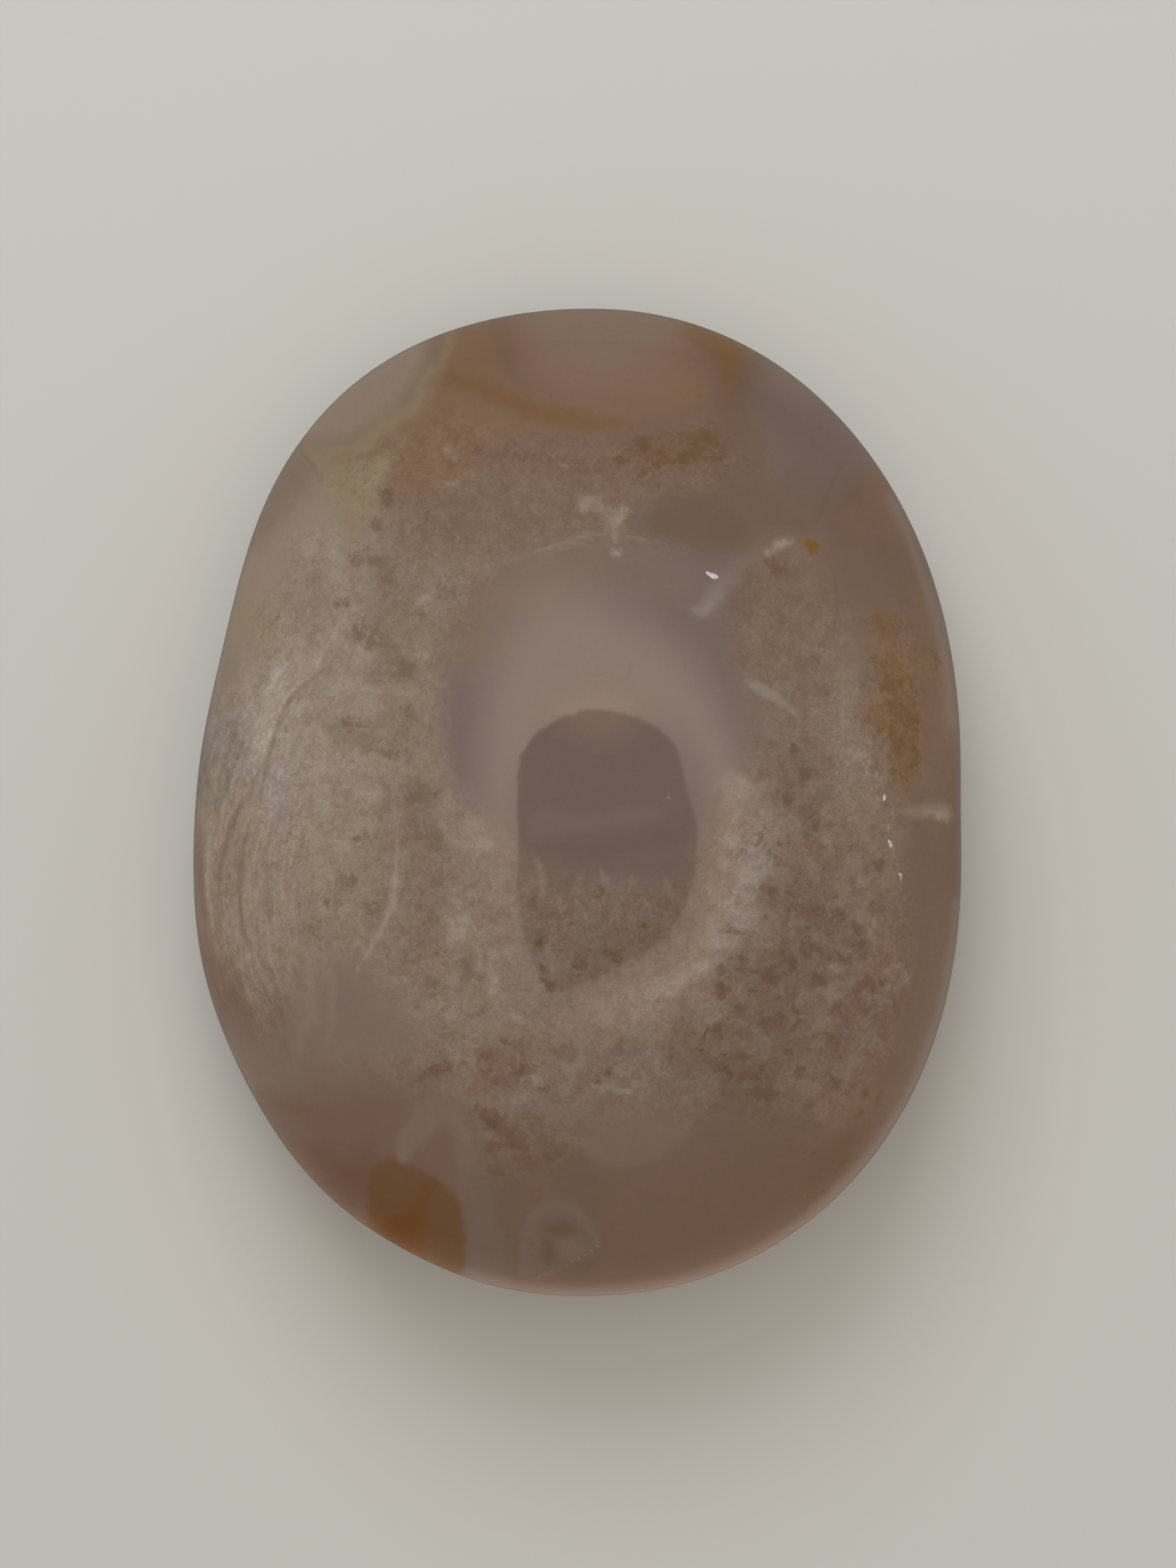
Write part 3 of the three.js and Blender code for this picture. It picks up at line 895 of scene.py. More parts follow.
# %% Lay the belly
BELLY_MARKS = {
    "crystals": ("cream grey", 4.0, 0.9, 2.0, oval(-6, 6, 12, 15, 30)),
    "lavender lens": ("lavender", 1.2, 0.9, 0.5, oval(8, -9, 6.5, 8.5, 20)),
    "blush": ("pink grey", 3.0, 0.7, 1.0, oval(5, 14, 8, 6, -20)),
    "crystals on the right": ("warm grey", 3.0, 0.9, 2.0, oval(20, -2, 6, 11)),
    "crystals on the left": ("cream grey", 3.0, 0.9, 2.0, oval(-19, 3, 6, 12)),
    "tan seam": ("tan", 1.5, 0.8, 1.0, oval(-12, -12, 6, 2.5, 50)),
    "rose end": ("rose brown", 3.0, 0.8, 1.0, oval(0, -24, 9, 6)),
    "rust": ("ochre", 0.6, 0.8, 1.2, stroke(
        (-15, -14, 0.4), (-11, -9, 0.8), (-7, -7, 0.5), (-3, -7.5, 0.1)
    )),
    "red spots": ("red brown", 0.5, 0.5, 1.5, oval(-4, 3, 1.4, 0.7, 20)),
    "brown spots": ("dark brown", 0.5, 0.5, 1.5, oval(-9, 8, 1.0, 0.7, -40)),
}
belly_colour = lay(BELLY_MARKS, body, belly_map)
print("belly marks:", len(BELLY_MARKS))

# %% [markdown]
# Values that belong to the points of a mesh are stored as attributes, which a material can read
# by name. This small helper blends what the two maps say and stores it.

# %% Store what the maps say
stored = []


def store(name, on_crown, on_belly):
    """Keeps one number or colour per point of the skin under a name."""
    weight = belly_weight if on_crown.ndim == 1 else belly_weight[:, None]
    values = on_crown * (1 - weight) + on_belly * weight
    if values.ndim == 1:
        attribute = skin.attributes.new(name, "FLOAT", "POINT")
        attribute.data.foreach_set("value", values.astype(np.float32))
    else:
        full = np.concatenate([values, np.ones((len(values), 1))], axis=1)
        attribute = skin.attributes.new(name, "FLOAT_COLOR", "POINT")
        attribute.data.foreach_set("color", full.astype(np.float32).ravel())
    stored.append(name)


store("body_colour", crown_colour, belly_colour)

# %% [markdown]
# A colour on the stone is its own colour times the light that falls there. The dome gets most
# light on top and at its upper end, and its walls get less. I measured that once on a plain grey
# stone in this light, and a simple rule from the slope fits it well. The material divides by it,
# so what is left is the colour of the agate.

# %% Note how much light each point gets
LIGHT_ALL_ROUND = 0.33
LIGHT_FROM_ABOVE = 0.54
LIGHT_FROM_UPPER_END = 0.30
LIGHT_FROM_LEFT = 0.045
BELLY_LIGHT = 0.62
STEEPEST = 0.2
slope = np.zeros(len(stone_mm) * 3, np.float32)
skin.vertex_normals.foreach_get("vector", slope)
slope = slope.reshape(-1, 3)
light_share = LIGHT_ALL_ROUND + LIGHT_FROM_ABOVE * np.maximum(slope[:, 2], STEEPEST)
light_share += LIGHT_FROM_UPPER_END * slope[:, 1] - LIGHT_FROM_LEFT * slope[:, 0]
store("light_share", light_share, np.full(len(stone_mm), BELLY_LIGHT))
print("light from", round(float(light_share.min()), 2), "to", round(float(light_share.max()), 2))

# %% [markdown]
# ## Sugary crystals and smooth chalcedony
# Most of the stone is a mass of tiny quartz crystals, which looks like wet sugar. The lenses, the
# bubble and the petals are smooth chalcedony with no grain at all. One depth in mm says which is
# which: the crystal zones, less the smooth ones. A second one tells where dark patches gather,
# and a third where the crystals are whitest and most feathery.

# %% Map the crystal zones
CRYSTAL_WANDER = 1.6
SMOOTH_WANDER = 0.5
PATCH_WANDER = 1.0
BELLY_PATCH_INSET_MM = 3
CROWN_CRYSTALS = [
    oval(-7, 0, 14, 19, 5), oval(14, -5, 7.5, 15, 4), oval(4, -14, 12, 6.0),
    oval(-3, 19, 12.5, 4.4, -4), oval(12.8, 10.8, 4.0, 4.7), oval(6, 21.4, 5.0, 2.0),
    oval(20, 6.5, 2, 5.5), oval(-3.5, -20.5, 4.0, 3.0, -30), oval(1.5, -8, 6, 3.6),
    oval(-20.5, -3, 3.4, 11, 4), oval(-8, 22, 3.5, 3.0), oval(8.4, -7, 2.6, 5.5, -15),
    oval(2, -12.4, 7, 2.4), oval(-17.8, 12.6, 1.7, 5.0, -27), oval(12.5, -17, 5.5, 3.6),
    oval(-30.5, 3, 5.5, 14), oval(30.5, 0, 5.5, 12), oval(3, -37, 12, 5.0),
    oval(16, 34, 8, 5.5, -40),
]
CROWN_SMOOTH = [
    BUBBLE_MARKS["bubble"][-1], BUBBLE_MARKS["dark lens"][-1], TOP_MARKS["blue lens"][-1],
    HEART_MARKS["lavender lower left"][-1], RIGHT_MARKS["plum right rim"][-1],
    LOWER_MARKS["arch"][-1], UPPER_LEFT_MARKS["grey lens"][-1], oval(4.0, -21.4, 4.0, 1.8),
]
CROWN_PATCHES = [
    oval(14.5, -9, 6.0, 9.5, 8), oval(10, -14.5, 4.5, 4.0), oval(-4.5, -19.5, 2.5, 3.0, -30),
    oval(-1, -16.5, 8, 2.0),
]
CROWN_FEATHERS = [
    oval(10, -3, 3, 7, 10), oval(6, -11.5, 5, 3, 20), oval(-7, -7, 4, 7), oval(16.8, 4, 2.4, 6),
    oval(-18.5, 3, 3, 7), oval(-7.4, -8, 3.6, 5), oval(1, -6, 5.5, 2.4),
]
BELLY_CRYSTALS = [
    oval(-6, 6, 13, 17, 30), oval(10, 10, 9, 11), oval(-4, -16, 9, 6, -20), oval(21, -2, 7, 12),
    oval(-20, 3, 7, 13), oval(6, -25, 11, 6, 15), oval(12, 24, 9, 5, -30),
]
BELLY_SMOOTH = [oval(8, -9, 7, 9, 20), oval(-2, 24, 7, 4)]


def deepest(shapes, map_mm, wander):
    """How deep a point lies inside any one of some shapes."""
    wandered = ragged(map_mm, wander)
    return np.max([shape(wandered) for shape in shapes], axis=0)


def crystal_depth(map_mm, crystal_shapes, smooth_shapes):
    """How deep a point lies inside the crystal zones and outside the smooth ones."""
    in_crystals = deepest(crystal_shapes, map_mm, CRYSTAL_WANDER)
    return np.minimum(in_crystals, -deepest(smooth_shapes, map_mm, SMOOTH_WANDER))


crown_crystal = crystal_depth(crown_map, CROWN_CRYSTALS, CROWN_SMOOTH)
belly_crystal = crystal_depth(belly_map, BELLY_CRYSTALS, BELLY_SMOOTH)
belly_inner = belly_crystal - BELLY_PATCH_INSET_MM
store("crystal_mm", crown_crystal, belly_crystal)
store("patch_mm", deepest(CROWN_PATCHES, crown_map, PATCH_WANDER), belly_inner)
store("feather_mm", deepest(CROWN_FEATHERS, crown_map, PATCH_WANDER), belly_inner)
print("share of the crown in crystals:", round(float((crown_crystal[~is_belly] > 0).mean()), 2))

# %% [markdown]
# ## Fine lines, patches and specks
# What is finer than the grid of points is stored as a depth too, and the material turns it into a
# crisp or ragged edge. Each kind has a colour, a softness in mm, how ragged its edge is in mm, how
# unevenly it covers, its strength, and its shapes.

# %% Note dark, red and rusty patches
PATCH_MARKS = {
    "brown_crystals": ("brown crystal", 0.3, 3.0, 0.75, 0.8, [
        oval(-12.9, 10.3, 1.3, 0.75, -25), oval(-11.9, 14.3, 0.7, 0.9, 15),
        oval(-13.4, 15.2, 0.9, 0.3, -10), oval(-8.4, 13.3, 0.4, 0.4), oval(-9.6, 16.8, 0.7, 0.4),
        oval(-8.1, 16.8, 0.4, 0.5), oval(-10.9, 8.3, 0.9, 0.6), oval(-9.6, 11.6, 0.4, 0.4),
        oval(-14.6, 12.4, 0.5, 0.3), oval(-11.9, 3.2, 0.9, 0.3, -8), oval(-13.9, 4.9, 0.9, 0.4),
        oval(-10.0, 0.4, 0.7, 0.5), oval(-13.4, -0.5, 0.3, 0.25), oval(-13.5, -2.2, 0.7, 0.3),
        oval(-14.6, -4.9, 0.6, 0.4), oval(-15.4, -6.4, 0.5, 0.2), oval(-16.6, -8.0, 0.5, 0.35),
        oval(-9.0, -5.1, 0.7, 0.25), oval(-9.2, -2.1, 0.95, 0.55), oval(-12.9, -6.5, 0.9, 0.45, 8),
        oval(-8.9, -7.4, 0.5, 0.4), oval(-8.7, -9.4, 0.3, 0.2), oval(-10.4, -9.8, 0.4, 0.25),
        oval(-8.7, -12, 0.6, 0.5), oval(-7.0, -10.2, 0.5, 0.5), oval(-6.0, -10.9, 0.35, 0.4),
        oval(-5.8, -13.2, 0.4, 0.3), oval(-5.0, -7.2, 0.5, 0.4), oval(-10.6, 6.0, 0.4, 0.3),
        oval(-8.0, -14.8, 0.5, 0.4), oval(-3.2, -15.3, 0.6, 0.3), oval(-1.0, -15.8, 0.6, 0.35),
        oval(0.8, -15.5, 0.5, 0.4), oval(1.7, -14.5, 0.5, 0.3), oval(-1.5, -18.7, 0.5, 0.4),
        oval(3.4, -17.2, 0.5, 0.3), oval(0.9, 17.8, 0.6, 0.35), oval(10.4, 8.9, 0.4, 0.5),
        oval(15.3, 6.9, 0.5, 0.5), oval(14.2, 8.6, 0.6, 0.3), oval(13.1, 14.4, 0.8, 0.4),
        oval(13.7, 12.8, 0.8, 0.4), oval(10.8, 13.4, 0.4, 0.3), oval(6.1, -5.3, 0.3, 0.4),
        oval(5.7, -6.5, 0.5, 0.4),
    ]),
    "dark_crystals": ("dark brown", 0.25, 2.0, 0.5, 0.85, [
        oval(-2.3, -8.8, 0.2, 0.4), oval(0.2, -10.4, 0.5, 0.2), oval(4.2, -7.9, 0.15, 0.15),
        stroke((-2.3, -10.2, 0.05), (-1.8, -11.6, 0.3)), oval(10.3, -12.8, 0.4, 0.5),
        oval(10.4, -10.1, 0.25, 0.3), oval(9.4, -8.0, 0.35, 0.25),
        oval(15.2, -11.2, 0.6, 0.45, -40), oval(14.9, -9.3, 0.5, 0.35),
        oval(13.35, -10.2, 0.42, 0.5, -30), oval(14.2, -9.3, 0.2, 0.25),
        oval(12.2, -10.2, 0.35, 0.2), oval(12.3, -11.0, 0.45, 0.2), oval(11.7, -13.8, 0.3, 0.25),
        oval(12.7, -13.5, 0.25, 0.2), oval(12.9, -9.3, 0.25, 0.25), oval(9.2, -10.6, 0.2, 0.2),
        oval(8.6, -11.8, 0.25, 0.25), oval(11.6, -18.3, 1.0, 0.35), oval(14.6, -19, 0.2, 0.2),
        oval(8.8, -14, 0.25, 0.3), oval(10.4, -16.0, 0.4, 0.25), oval(16.6, -7.2, 0.25, 0.4),
        oval(14.4, 1.8, 0.35, 0.4), oval(13.6, 3.4, 0.25, 0.2), oval(13.2, 0.2, 0.4, 0.3),
        oval(14.9, -1.6, 0.4, 0.3), oval(12.3, -5.6, 0.25, 0.3),
    ]),
    "red_crystals": ("red brown", 0.35, 2.6, 0.6, 0.85, [
        oval(-11.9, 19.2, 0.4, 0.5), oval(-12.6, 17.4, 0.4, 0.3), oval(-9.3, 17.8, 0.3, 0.25),
        oval(-6.3, 22, 0.3, 0.3), oval(2.3, -9.7, 0.6, 0.3, -30), oval(1.4, -5.8, 0.5, 0.25),
        oval(12.4, 14.8, 0.6, 0.4), oval(18.9, -4.0, 0.6, 0.4), oval(14.5, -7.0, 0.4, 0.5),
        oval(14.0, -8.0, 0.4, 0.25), oval(12.2, -10.9, 0.7, 0.55), oval(9.1, -11.9, 0.6, 0.35),
        oval(12.3, -13.9, 0.8, 0.5, 8), oval(18.0, -11.5, 0.6, 0.5), oval(9.6, -18.4, 0.7, 0.4),
        oval(14.1, -13.8, 0.4, 0.25), oval(10.6, -17.2, 0.6, 0.35), oval(13.4, -12.2, 0.3, 0.3),
        oval(16.3, -13.0, 0.4, 0.3), oval(-5.7, -19.5, 0.7, 0.35, -20),
        stroke((-4.9, -20.1, 0.3), (-4.1, -21.1, 0.4), (-3.3, -22.3, 0.3)),
        oval(-2.9, -22.9, 0.35, 0.25), oval(-5.3, -23.2, 0.3, 0.2), oval(-2.6, -24.5, 0.25, 0.4),
        oval(-5.5, -21.7, 0.5, 0.3), oval(-8.5, -16.8, 0.9, 0.4), oval(-9.3, -17.3, 0.4, 0.15),
        oval(-7.9, -17.3, 0.3, 0.12), oval(-5.7, -15.8, 0.5, 0.25), oval(-5.5, -17.4, 0.4, 0.25),
        oval(-3.8, -17.1, 0.4, 0.3), oval(17.6, -8.2, 0.2, 0.9, 20),
    ]),
    "rusty_seams": ("rust", 0.55, 0.9, 0.2, 0.9, [
        stroke((-7.8, 26.5, 0.35), (-6, 26.0, 0.45), (-4.4, 25.3, 0.55), (-2.8, 24.6, 0.6),
               (-1.2, 24.2, 0.6), (0.8, 23.9, 0.5), (3.2, 23.7, 0.1)),
        outline((6.2, 31), (6.9, 29.6), (8.2, 28.6), (8.9, 27.4), (9.3, 26.4), (9.9, 26.4),
                (10.2, 27.3), (10.7, 28.2), (11.5, 28.8), (11.5, 31)),
        stroke((9.5, 26.8, 0.2), (9.6, 25.4, 0.1), (9.8, 24.2, 0.0)),
    ]),
    "ochre_stain": ("olive", 0.3, 4.0, 0.9, 0.7, [
        oval(19.7, 7.3, 0.6, 0.5), oval(20.3, 5.8, 0.7, 0.9), oval(21.0, 7.2, 0.3, 0.7),
        oval(20.9, 5.2, 0.5, 0.5), oval(19.4, 4.6, 0.6, 0.4), oval(20.3, 3.2, 0.4, 0.8),
        oval(21.2, 2.6, 0.3, 0.7), oval(20.3, 1.6, 0.3, 0.4), oval(18.6, 8.7, 0.4, 0.2),
        oval(18.6, 11.3, 0.5, 0.2), oval(19.6, 10.9, 0.3, 0.15), oval(22.5, 8.9, 0.1, 0.5),
    ]),
    "olive_stain": ("olive", 0.4, 3.0, 0.5, 1.0, [
        oval(8.0, 22.7, 0.8, 0.45, 20), oval(7.0, 21.7, 1.0, 0.4, 10), oval(4.3, 22.2, 0.5, 0.35),
        oval(4.0, 21.1, 0.4, 0.4), oval(5.1, 21.3, 0.5, 0.25), oval(2.7, 21.5, 0.4, 0.2),
        oval(8.6, 21.7, 0.4, 0.3),
    ]),
    "moss_specks": ("moss", 0.25, 1.6, 0.6, 0.8, [
        oval(15.9, -14.8, 0.75, 0.28, -40), oval(16.9, -13.7, 0.25, 0.25),
        oval(13.9, -17.2, 0.45, 0.38), oval(16.0, -17.5, 0.7, 0.28, -35),
        oval(18.1, -18.3, 0.22, 0.2), oval(18.9, -18.5, 0.12, 0.5),
        oval(15.3, -20.3, 0.5, 0.1, -10), oval(17.6, -19.6, 0.4, 0.1), oval(14.6, -22, 0.4, 0.08),
        oval(16.6, -22.8, 0.15, 0.7, -40), oval(15.2, -24.6, 0.5, 0.08, 40),
        oval(14.8, -14.7, 0.4, 0.15),
    ]),
    "ochre_drop": ("bright ochre", 0.14, 0.7, 0.15, 1.0, [
        oval(14.6, 16.3, 0.32, 0.26), oval(14.9, 15.95, 0.26, 0.42, -15),
    ]),
}
print("patches:", {name: len(kind[-1]) for name, kind in PATCH_MARKS.items()})

# %% [markdown]
# The lines are seams where two growths met, milky wisps that hang in the clear parts, and a few
# hair-fine dark lines. Some milky specks along the arc of pale crystals on the right are painted
# sheen. Curves with a bevel would stand proud of the polish, so these are depths like the patches,
# only narrow.

# %% Note milky wisps and seams
LINE_MARKS = {
    "cream_wisps": ("milk", 0.25, 0.8, 0.6, 0.7, [
        stroke((13.4, 16.5, 0.1), (12.8, 16.2, 0.2), (11.9, 15.6, 0.1)),
        stroke((14.0, 15.8, 0.03), (13.7, 15.2, 0.05)),
        stroke((0.4, 18.4, 0.16), (0.5, 18.9, 0.2), (1.2, 19.0, 0.12), (1.6, 18.6, 0.06)),
        oval(1.2, 18.3, 0.3, 0.1), oval(2.8, 18.25, 0.32, 0.5, -20), oval(2.4, 17.6, 0.35, 0.25),
        stroke((2.4, 17.3, 0.1), (2.35, 16.4, 0.1)), oval(2.55, 15.65, 0.35, 0.28),
        oval(-0.9, 21.1, 0.2, 0.2),
    ]),
    "blue_wisps": ("pale blue", 0.35, 1.2, 0.6, 0.75, [
        oval(-6.7, -1.6, 0.4, 0.6), oval(-5.6, -2.7, 0.4, 0.3),
        stroke((-8.5, -3.3, 0.05), (-7.0, -2.5, 0.12)),
        stroke((-2.6, -3.6, 0.0), (-2.2, -4.8, 0.15), (-2.3, -6.2, 0.05)),
        stroke((0.3, -4.6, 0.0), (0.0, -5.6, 0.12)), stroke((1.5, -4.4, 0.0), (1.9, -5.2, 0.12)),
        oval(3.4, -5.0, 0.1, 0.3), oval(5.7, -5.3, 0.12, 0.4, 20),
        stroke((-1.9, -9, 0.12), (-1.5, -10.8, 0.05)), oval(-1.0, -6.4, 0.12, 0.5),
    ]),
    "clear_wisps": ("pale blue", 0.2, 0.3, 0.3, 0.8, [
        stroke((10.6, 7.6, 0.12), (11.3, 7.25, 0.34), (12.4, 6.6, 0.32), (13.3, 5.9, 0.2),
               (13.9, 5.3, 0.04)),
        stroke((7.3, 12.1, 0.05), (7.9, 11.9, 0.2), (8.4, 12.5, 0.15)),
    ]),
    "cream_line": ("milk", 0.2, 0.6, 0.4, 0.6, [
        stroke((-11.25, -0.4, 0.0), (-11.35, -3.0, 0.05), (-11.4, -4.6, 0.16), (-11.5, -6.0, 0.24),
               (-12.2, -7.8, 0.18), (-13.8, -10.5, 0.05)),
        stroke((-23.0, -1.2, 0.02), (-23.15, -3.2, 0.16), (-23.2, -5.4, 0.12), (-22.9, -8, 0.02)),
    ]),
    "milky_wisps_and_sheen_specks": ("milk", 0.35, 1.6, 0.7, 0.5, [
        stroke((22.0, -0.6, 0.05), (23.0, -0.9, 0.3)), oval(-7.9, -8.5, 0.6, 0.4),
        oval(-6.1, -10.3, 0.35, 0.3), oval(-5.3, -11.4, 0.25, 0.7), oval(-11.2, -11.2, 0.5, 0.2),
        oval(-8.0, -13.4, 0.4, 0.2), stroke((-8.4, -5.6, 0.05), (-7.4, -6.6, 0.15)),
        # from oval(10.5, 0.8) through oval(3.5, -13.5), the specks are painted sheen along the arc of
        # pale crystals, where the rough polish spreads the panel's reflection
        oval(-9.8, 12.8, 0.5, 0.3), oval(-9.7, 9.3, 0.4, 0.3), oval(10.5, 0.8, 0.4, 0.5),
        oval(9.5, -2.5, 0.5, 0.5), oval(10.5, -4.6, 0.5, 0.6), oval(9.7, -6.6, 0.5, 0.5),
        oval(9.0, -8.8, 0.5, 0.4), oval(7.7, -10.4, 0.5, 0.3), oval(5.8, -11.9, 0.5, 0.3),
        oval(3.5, -13.5, 0.4, 0.3), oval(1.5, -17.9, 0.7, 0.2, -10), oval(3.0, -18.1, 0.5, 0.15),
        oval(-3.8, -13.6, 0.4, 0.3), oval(17.4, 3.0, 0.3, 0.5),
        stroke((19.3, -10.6, 0.05), (20.4, -10.4, 0.1), (20.6, -11.4, 0.1), (19.5, -11.6, 0.05)),
        stroke((18.6, -12.3, 0.08), (19.7, -12.7, 0.1)), oval(18.6, -7.6, 0.15, 0.8, -20),
        oval(17.8, -5.0, 0.2, 0.5, 30), oval(16.2, -10.4, 0.5, 0.2, -30),
        oval(15.9, -12.0, 0.3, 0.3), oval(-2.6, -17.4, 0.5, 0.2), oval(5.2, -16.4, 0.4, 0.2),
    ]),
    "pale_seams": ("cream", 0.16, 0.25, 0.3, 0.75, [
        stroke((-7.0, 14.5, 0.0), (-5.6, 14.8, 0.02), (-4, 15.2, 0.06), (-2.5, 15.75, 0.1),
               (-1, 16.2, 0.12), (0.5, 16.7, 0.12), (1.9, 16.85, 0.08)),
        stroke((-2.4, 15.4, 0.0), (-0.8, 15.9, 0.05), (1.0, 16.4, 0.02)),
        oval(0.65, 16.85, 0.12, 0.16),
        stroke((3.0, 16.7, 0.03), (4.2, 16.5, 0.05), (5.6, 16.2, 0.0)),
        stroke((-20.3, 1.2, 0.0), (-19.7, 3.6, 0.05), (-18.6, 6.4, 0.05), (-17, 9.4, 0.0)),
        stroke((-2.7, -30.0, 0.03), (-1.2, -29.3, 0.0), (0.4, -28.5, 0.0), (1.4, -27.8, 0.03)),
    ]),
    "ring_edge": ("petal", 0.35, 0.5, 0.3, 0.55, [
        stroke((-3.1, -27.4, 0.15), (-2.9, -26.4, 0.2), (-2.2, -25.6, 0.25), (-0.8, -25.3, 0.3),
               (0.3, -26.0, 0.25), (1.2, -27.4, 0.2)),
        stroke((-3.3, -27, 0.15), (-3.4, -29.5, 0.2)),
    ]),
    "dark_seams": ("green grey", 0.22, 0.4, 0.3, 0.75, [
        stroke((-15.1, 9.2, 0.0), (-16.0, 8.2, 0.06), (-17.3, 7.2, 0.1), (-18.4, 5.8, 0.14),
               (-19.2, 3.5, 0.14), (-19.6, 2.0, 0.12), (-19.9, 0.6, 0.02)),
        stroke((-20.4, 0.8, 0.0), (-21.4, -0.8, 0.14), (-22.0, -2.6, 0.14), (-22.5, -5, 0.1),
               (-22.4, -8, 0.02)),
        stroke((-20.4, -1, 0.0), (-20.9, -2.6, 0.1), (-21.2, -5.0, 0.14), (-20.9, -8.2, 0.12),
               (-20.0, -9.6, 0.06), (-19.3, -10.6, 0.14), (-18.7, -12.6, 0.16), (-18.3, -15.2, 0.1),
               (-17.9, -16.6, 0.0)),
        stroke((-17.5, 22.3, 0.08), (-16.8, 21.4, 0.12), (-16.1, 20.2, 0.05)),
        stroke((-6.9, -19.4, 0.02), (-6.7, -20.4, 0.14), (-6.6, -21.4, 0.02)),
    ]),
    "dark_hairs": ("dark brown", 0.14, 0.2, 0.2, 0.4, [
        stroke((17.2, 22.2, 0.04), (16.3, 20.6, 0.14), (15.6, 19.0, 0.14), (15.0, 17.4, 0.02)),
        stroke((16.1, 14.5, 0.03), (16.3, 12.6, 0.08), (16.1, 10.6, 0.02)),
        stroke((3.4, 8.8, 0.02), (3.2, 8.0, 0.03), (2.7, 7.4, 0.02)),
        stroke((6.8, 8.8, 0.02), (6.7, 8.2, 0.03), (6.2, 7.7, 0.02)), oval(-7.7, 26.6, 0.14, 0.14),
        oval(14.6, 16.0, 0.1, 0.3),
    ]),
}
print("lines:", {name: len(kind[-1]) for name, kind in LINE_MARKS.items()})

# %% [markdown]
# Some bright dashes are crystals and some are painted highlights. The dull beads on the left flank
# are crystals that follow the bands. Those down the right side and at the lower right are painted
# glints, where the polish catches a lamp. The brightest, the glints, are painted highlights that
# flash white, a lamp mirrored in the polish. Each is (x, y, length, turn), in millimetres and degrees.

# %% Note the bright dashes
DASH_HALF_WIDTH_MM = 0.08
BEADS_AND_PAINTED_GLINTS = [
    (-23.1, -2.3, 0.5, 85), (-23.2, -3.3, 0.4, 88), (-23.3, -4.7, 0.5, 90), (-23.2, -5.7, 0.3, 92),
    (-21.8, -4.3, 0.3, 88), (-21.9, -5.3, 0.35, 90), (-22.0, -6.2, 0.3, 90), (-22.0, -7.2, 0.4, 92),
    (-21.9, -8.2, 0.35, 95), (-21.7, -9.0, 0.3, 100), (-21.3, -10.3, 0.3, 110),
    (-20.7, -11.8, 0.4, 120), (-20.5, -12.5, 0.2, 120), (-19.0, -2.5, 0.4, 80),
    (-18.5, -2.2, 0.4, 85), (-18.4, -3.8, 0.4, 60), (-20.0, -4.1, 0.5, 70), (-19.9, -5.1, 0.4, 60),
    (-17.8, -5.3, 0.6, 85), (-20.3, -5.7, 0.3, 90), (-20.1, -7.1, 0.4, 100),
    (-19.4, -7.8, 0.3, 110), (-18.9, -8.9, 0.5, 120), (-18.2, -10.2, 0.2, 110),
    # from here on, the dashes are painted glints: small highlights where the polish catches a lamp
    (17.8, 3.1, 0.3, 110), (18.05, 2.9, 0.3, 60), (18.35, 2.5, 0.4, 75), (18.15, 1.9, 0.35, 105),
    (18.8, 1.7, 0.45, 95), (18.5, 0.8, 0.25, 90), (18.85, 0.2, 0.3, 90), (19.75, -0.7, 0.35, 85),
    (19.55, -1.6, 0.5, 95), (19.75, -2.7, 0.8, 105), (20.05, -3.9, 0.3, 110), (20.3, -4.8, 0.6, 85),
    (20.6, -6.0, 0.4, 95), (14.4, -24.75, 0.2, 30), (14.9, -24.0, 0.35, 130), (14.7, 15.15, 0.3, 0),
    (5.75, 0.28, 0.25, 20), (16.3, 1.8, 0.25, 80), (16.7, 3.4, 0.25, 100), (17.2, -1.0, 0.3, 85),
]
# painted highlights: each is a lamp mirrored in the polish, painted as a white dash
PAINTED_GLINTS = [
    (19.3, 0.3, 0.45, 80), (19.65, -2.6, 0.7, 105), (20.3, -4.6, 0.45, 100),
    (-8.5, -17.7, 0.25, 80), (8.3, 14.36, 0.7, -12), (8.5, 14.22, 0.9, -12), (8.6, 14.1, 0.6, -12),
]


def dash(x, y, length, turn):
    """A bright dash, as a slim oval."""
    return oval(x, y, length / 2, DASH_HALF_WIDTH_MM, turn)


LINE_MARKS["beads"] = ("milk", 0.12, 0.2, 0.3, 0.7, [dash(*bead) for bead in BEADS_AND_PAINTED_GLINTS])
LINE_MARKS["painted_glints"] = ("milk", 0.08, 0.1, 0.0, 1.0, [dash(*glint) for glint in PAINTED_GLINTS])
FINE_MARKS = {**PATCH_MARKS, **LINE_MARKS}
no_mark = np.full(len(stone_mm), -FAR_MM)
for name, kind in FINE_MARKS.items():
    store(name, deepest(kind[-1], crown_map, 0.0), no_mark)
print("attributes:", stored)

# %% [markdown]
# ## The agate bands
# On the left flank the agate shows its growth bands, fine lines that follow one another like tree
# rings. They need a distance that keeps its sign across a guide line, and the distance along it,
# so that a noise stretched along the guide draws all the bands at once.

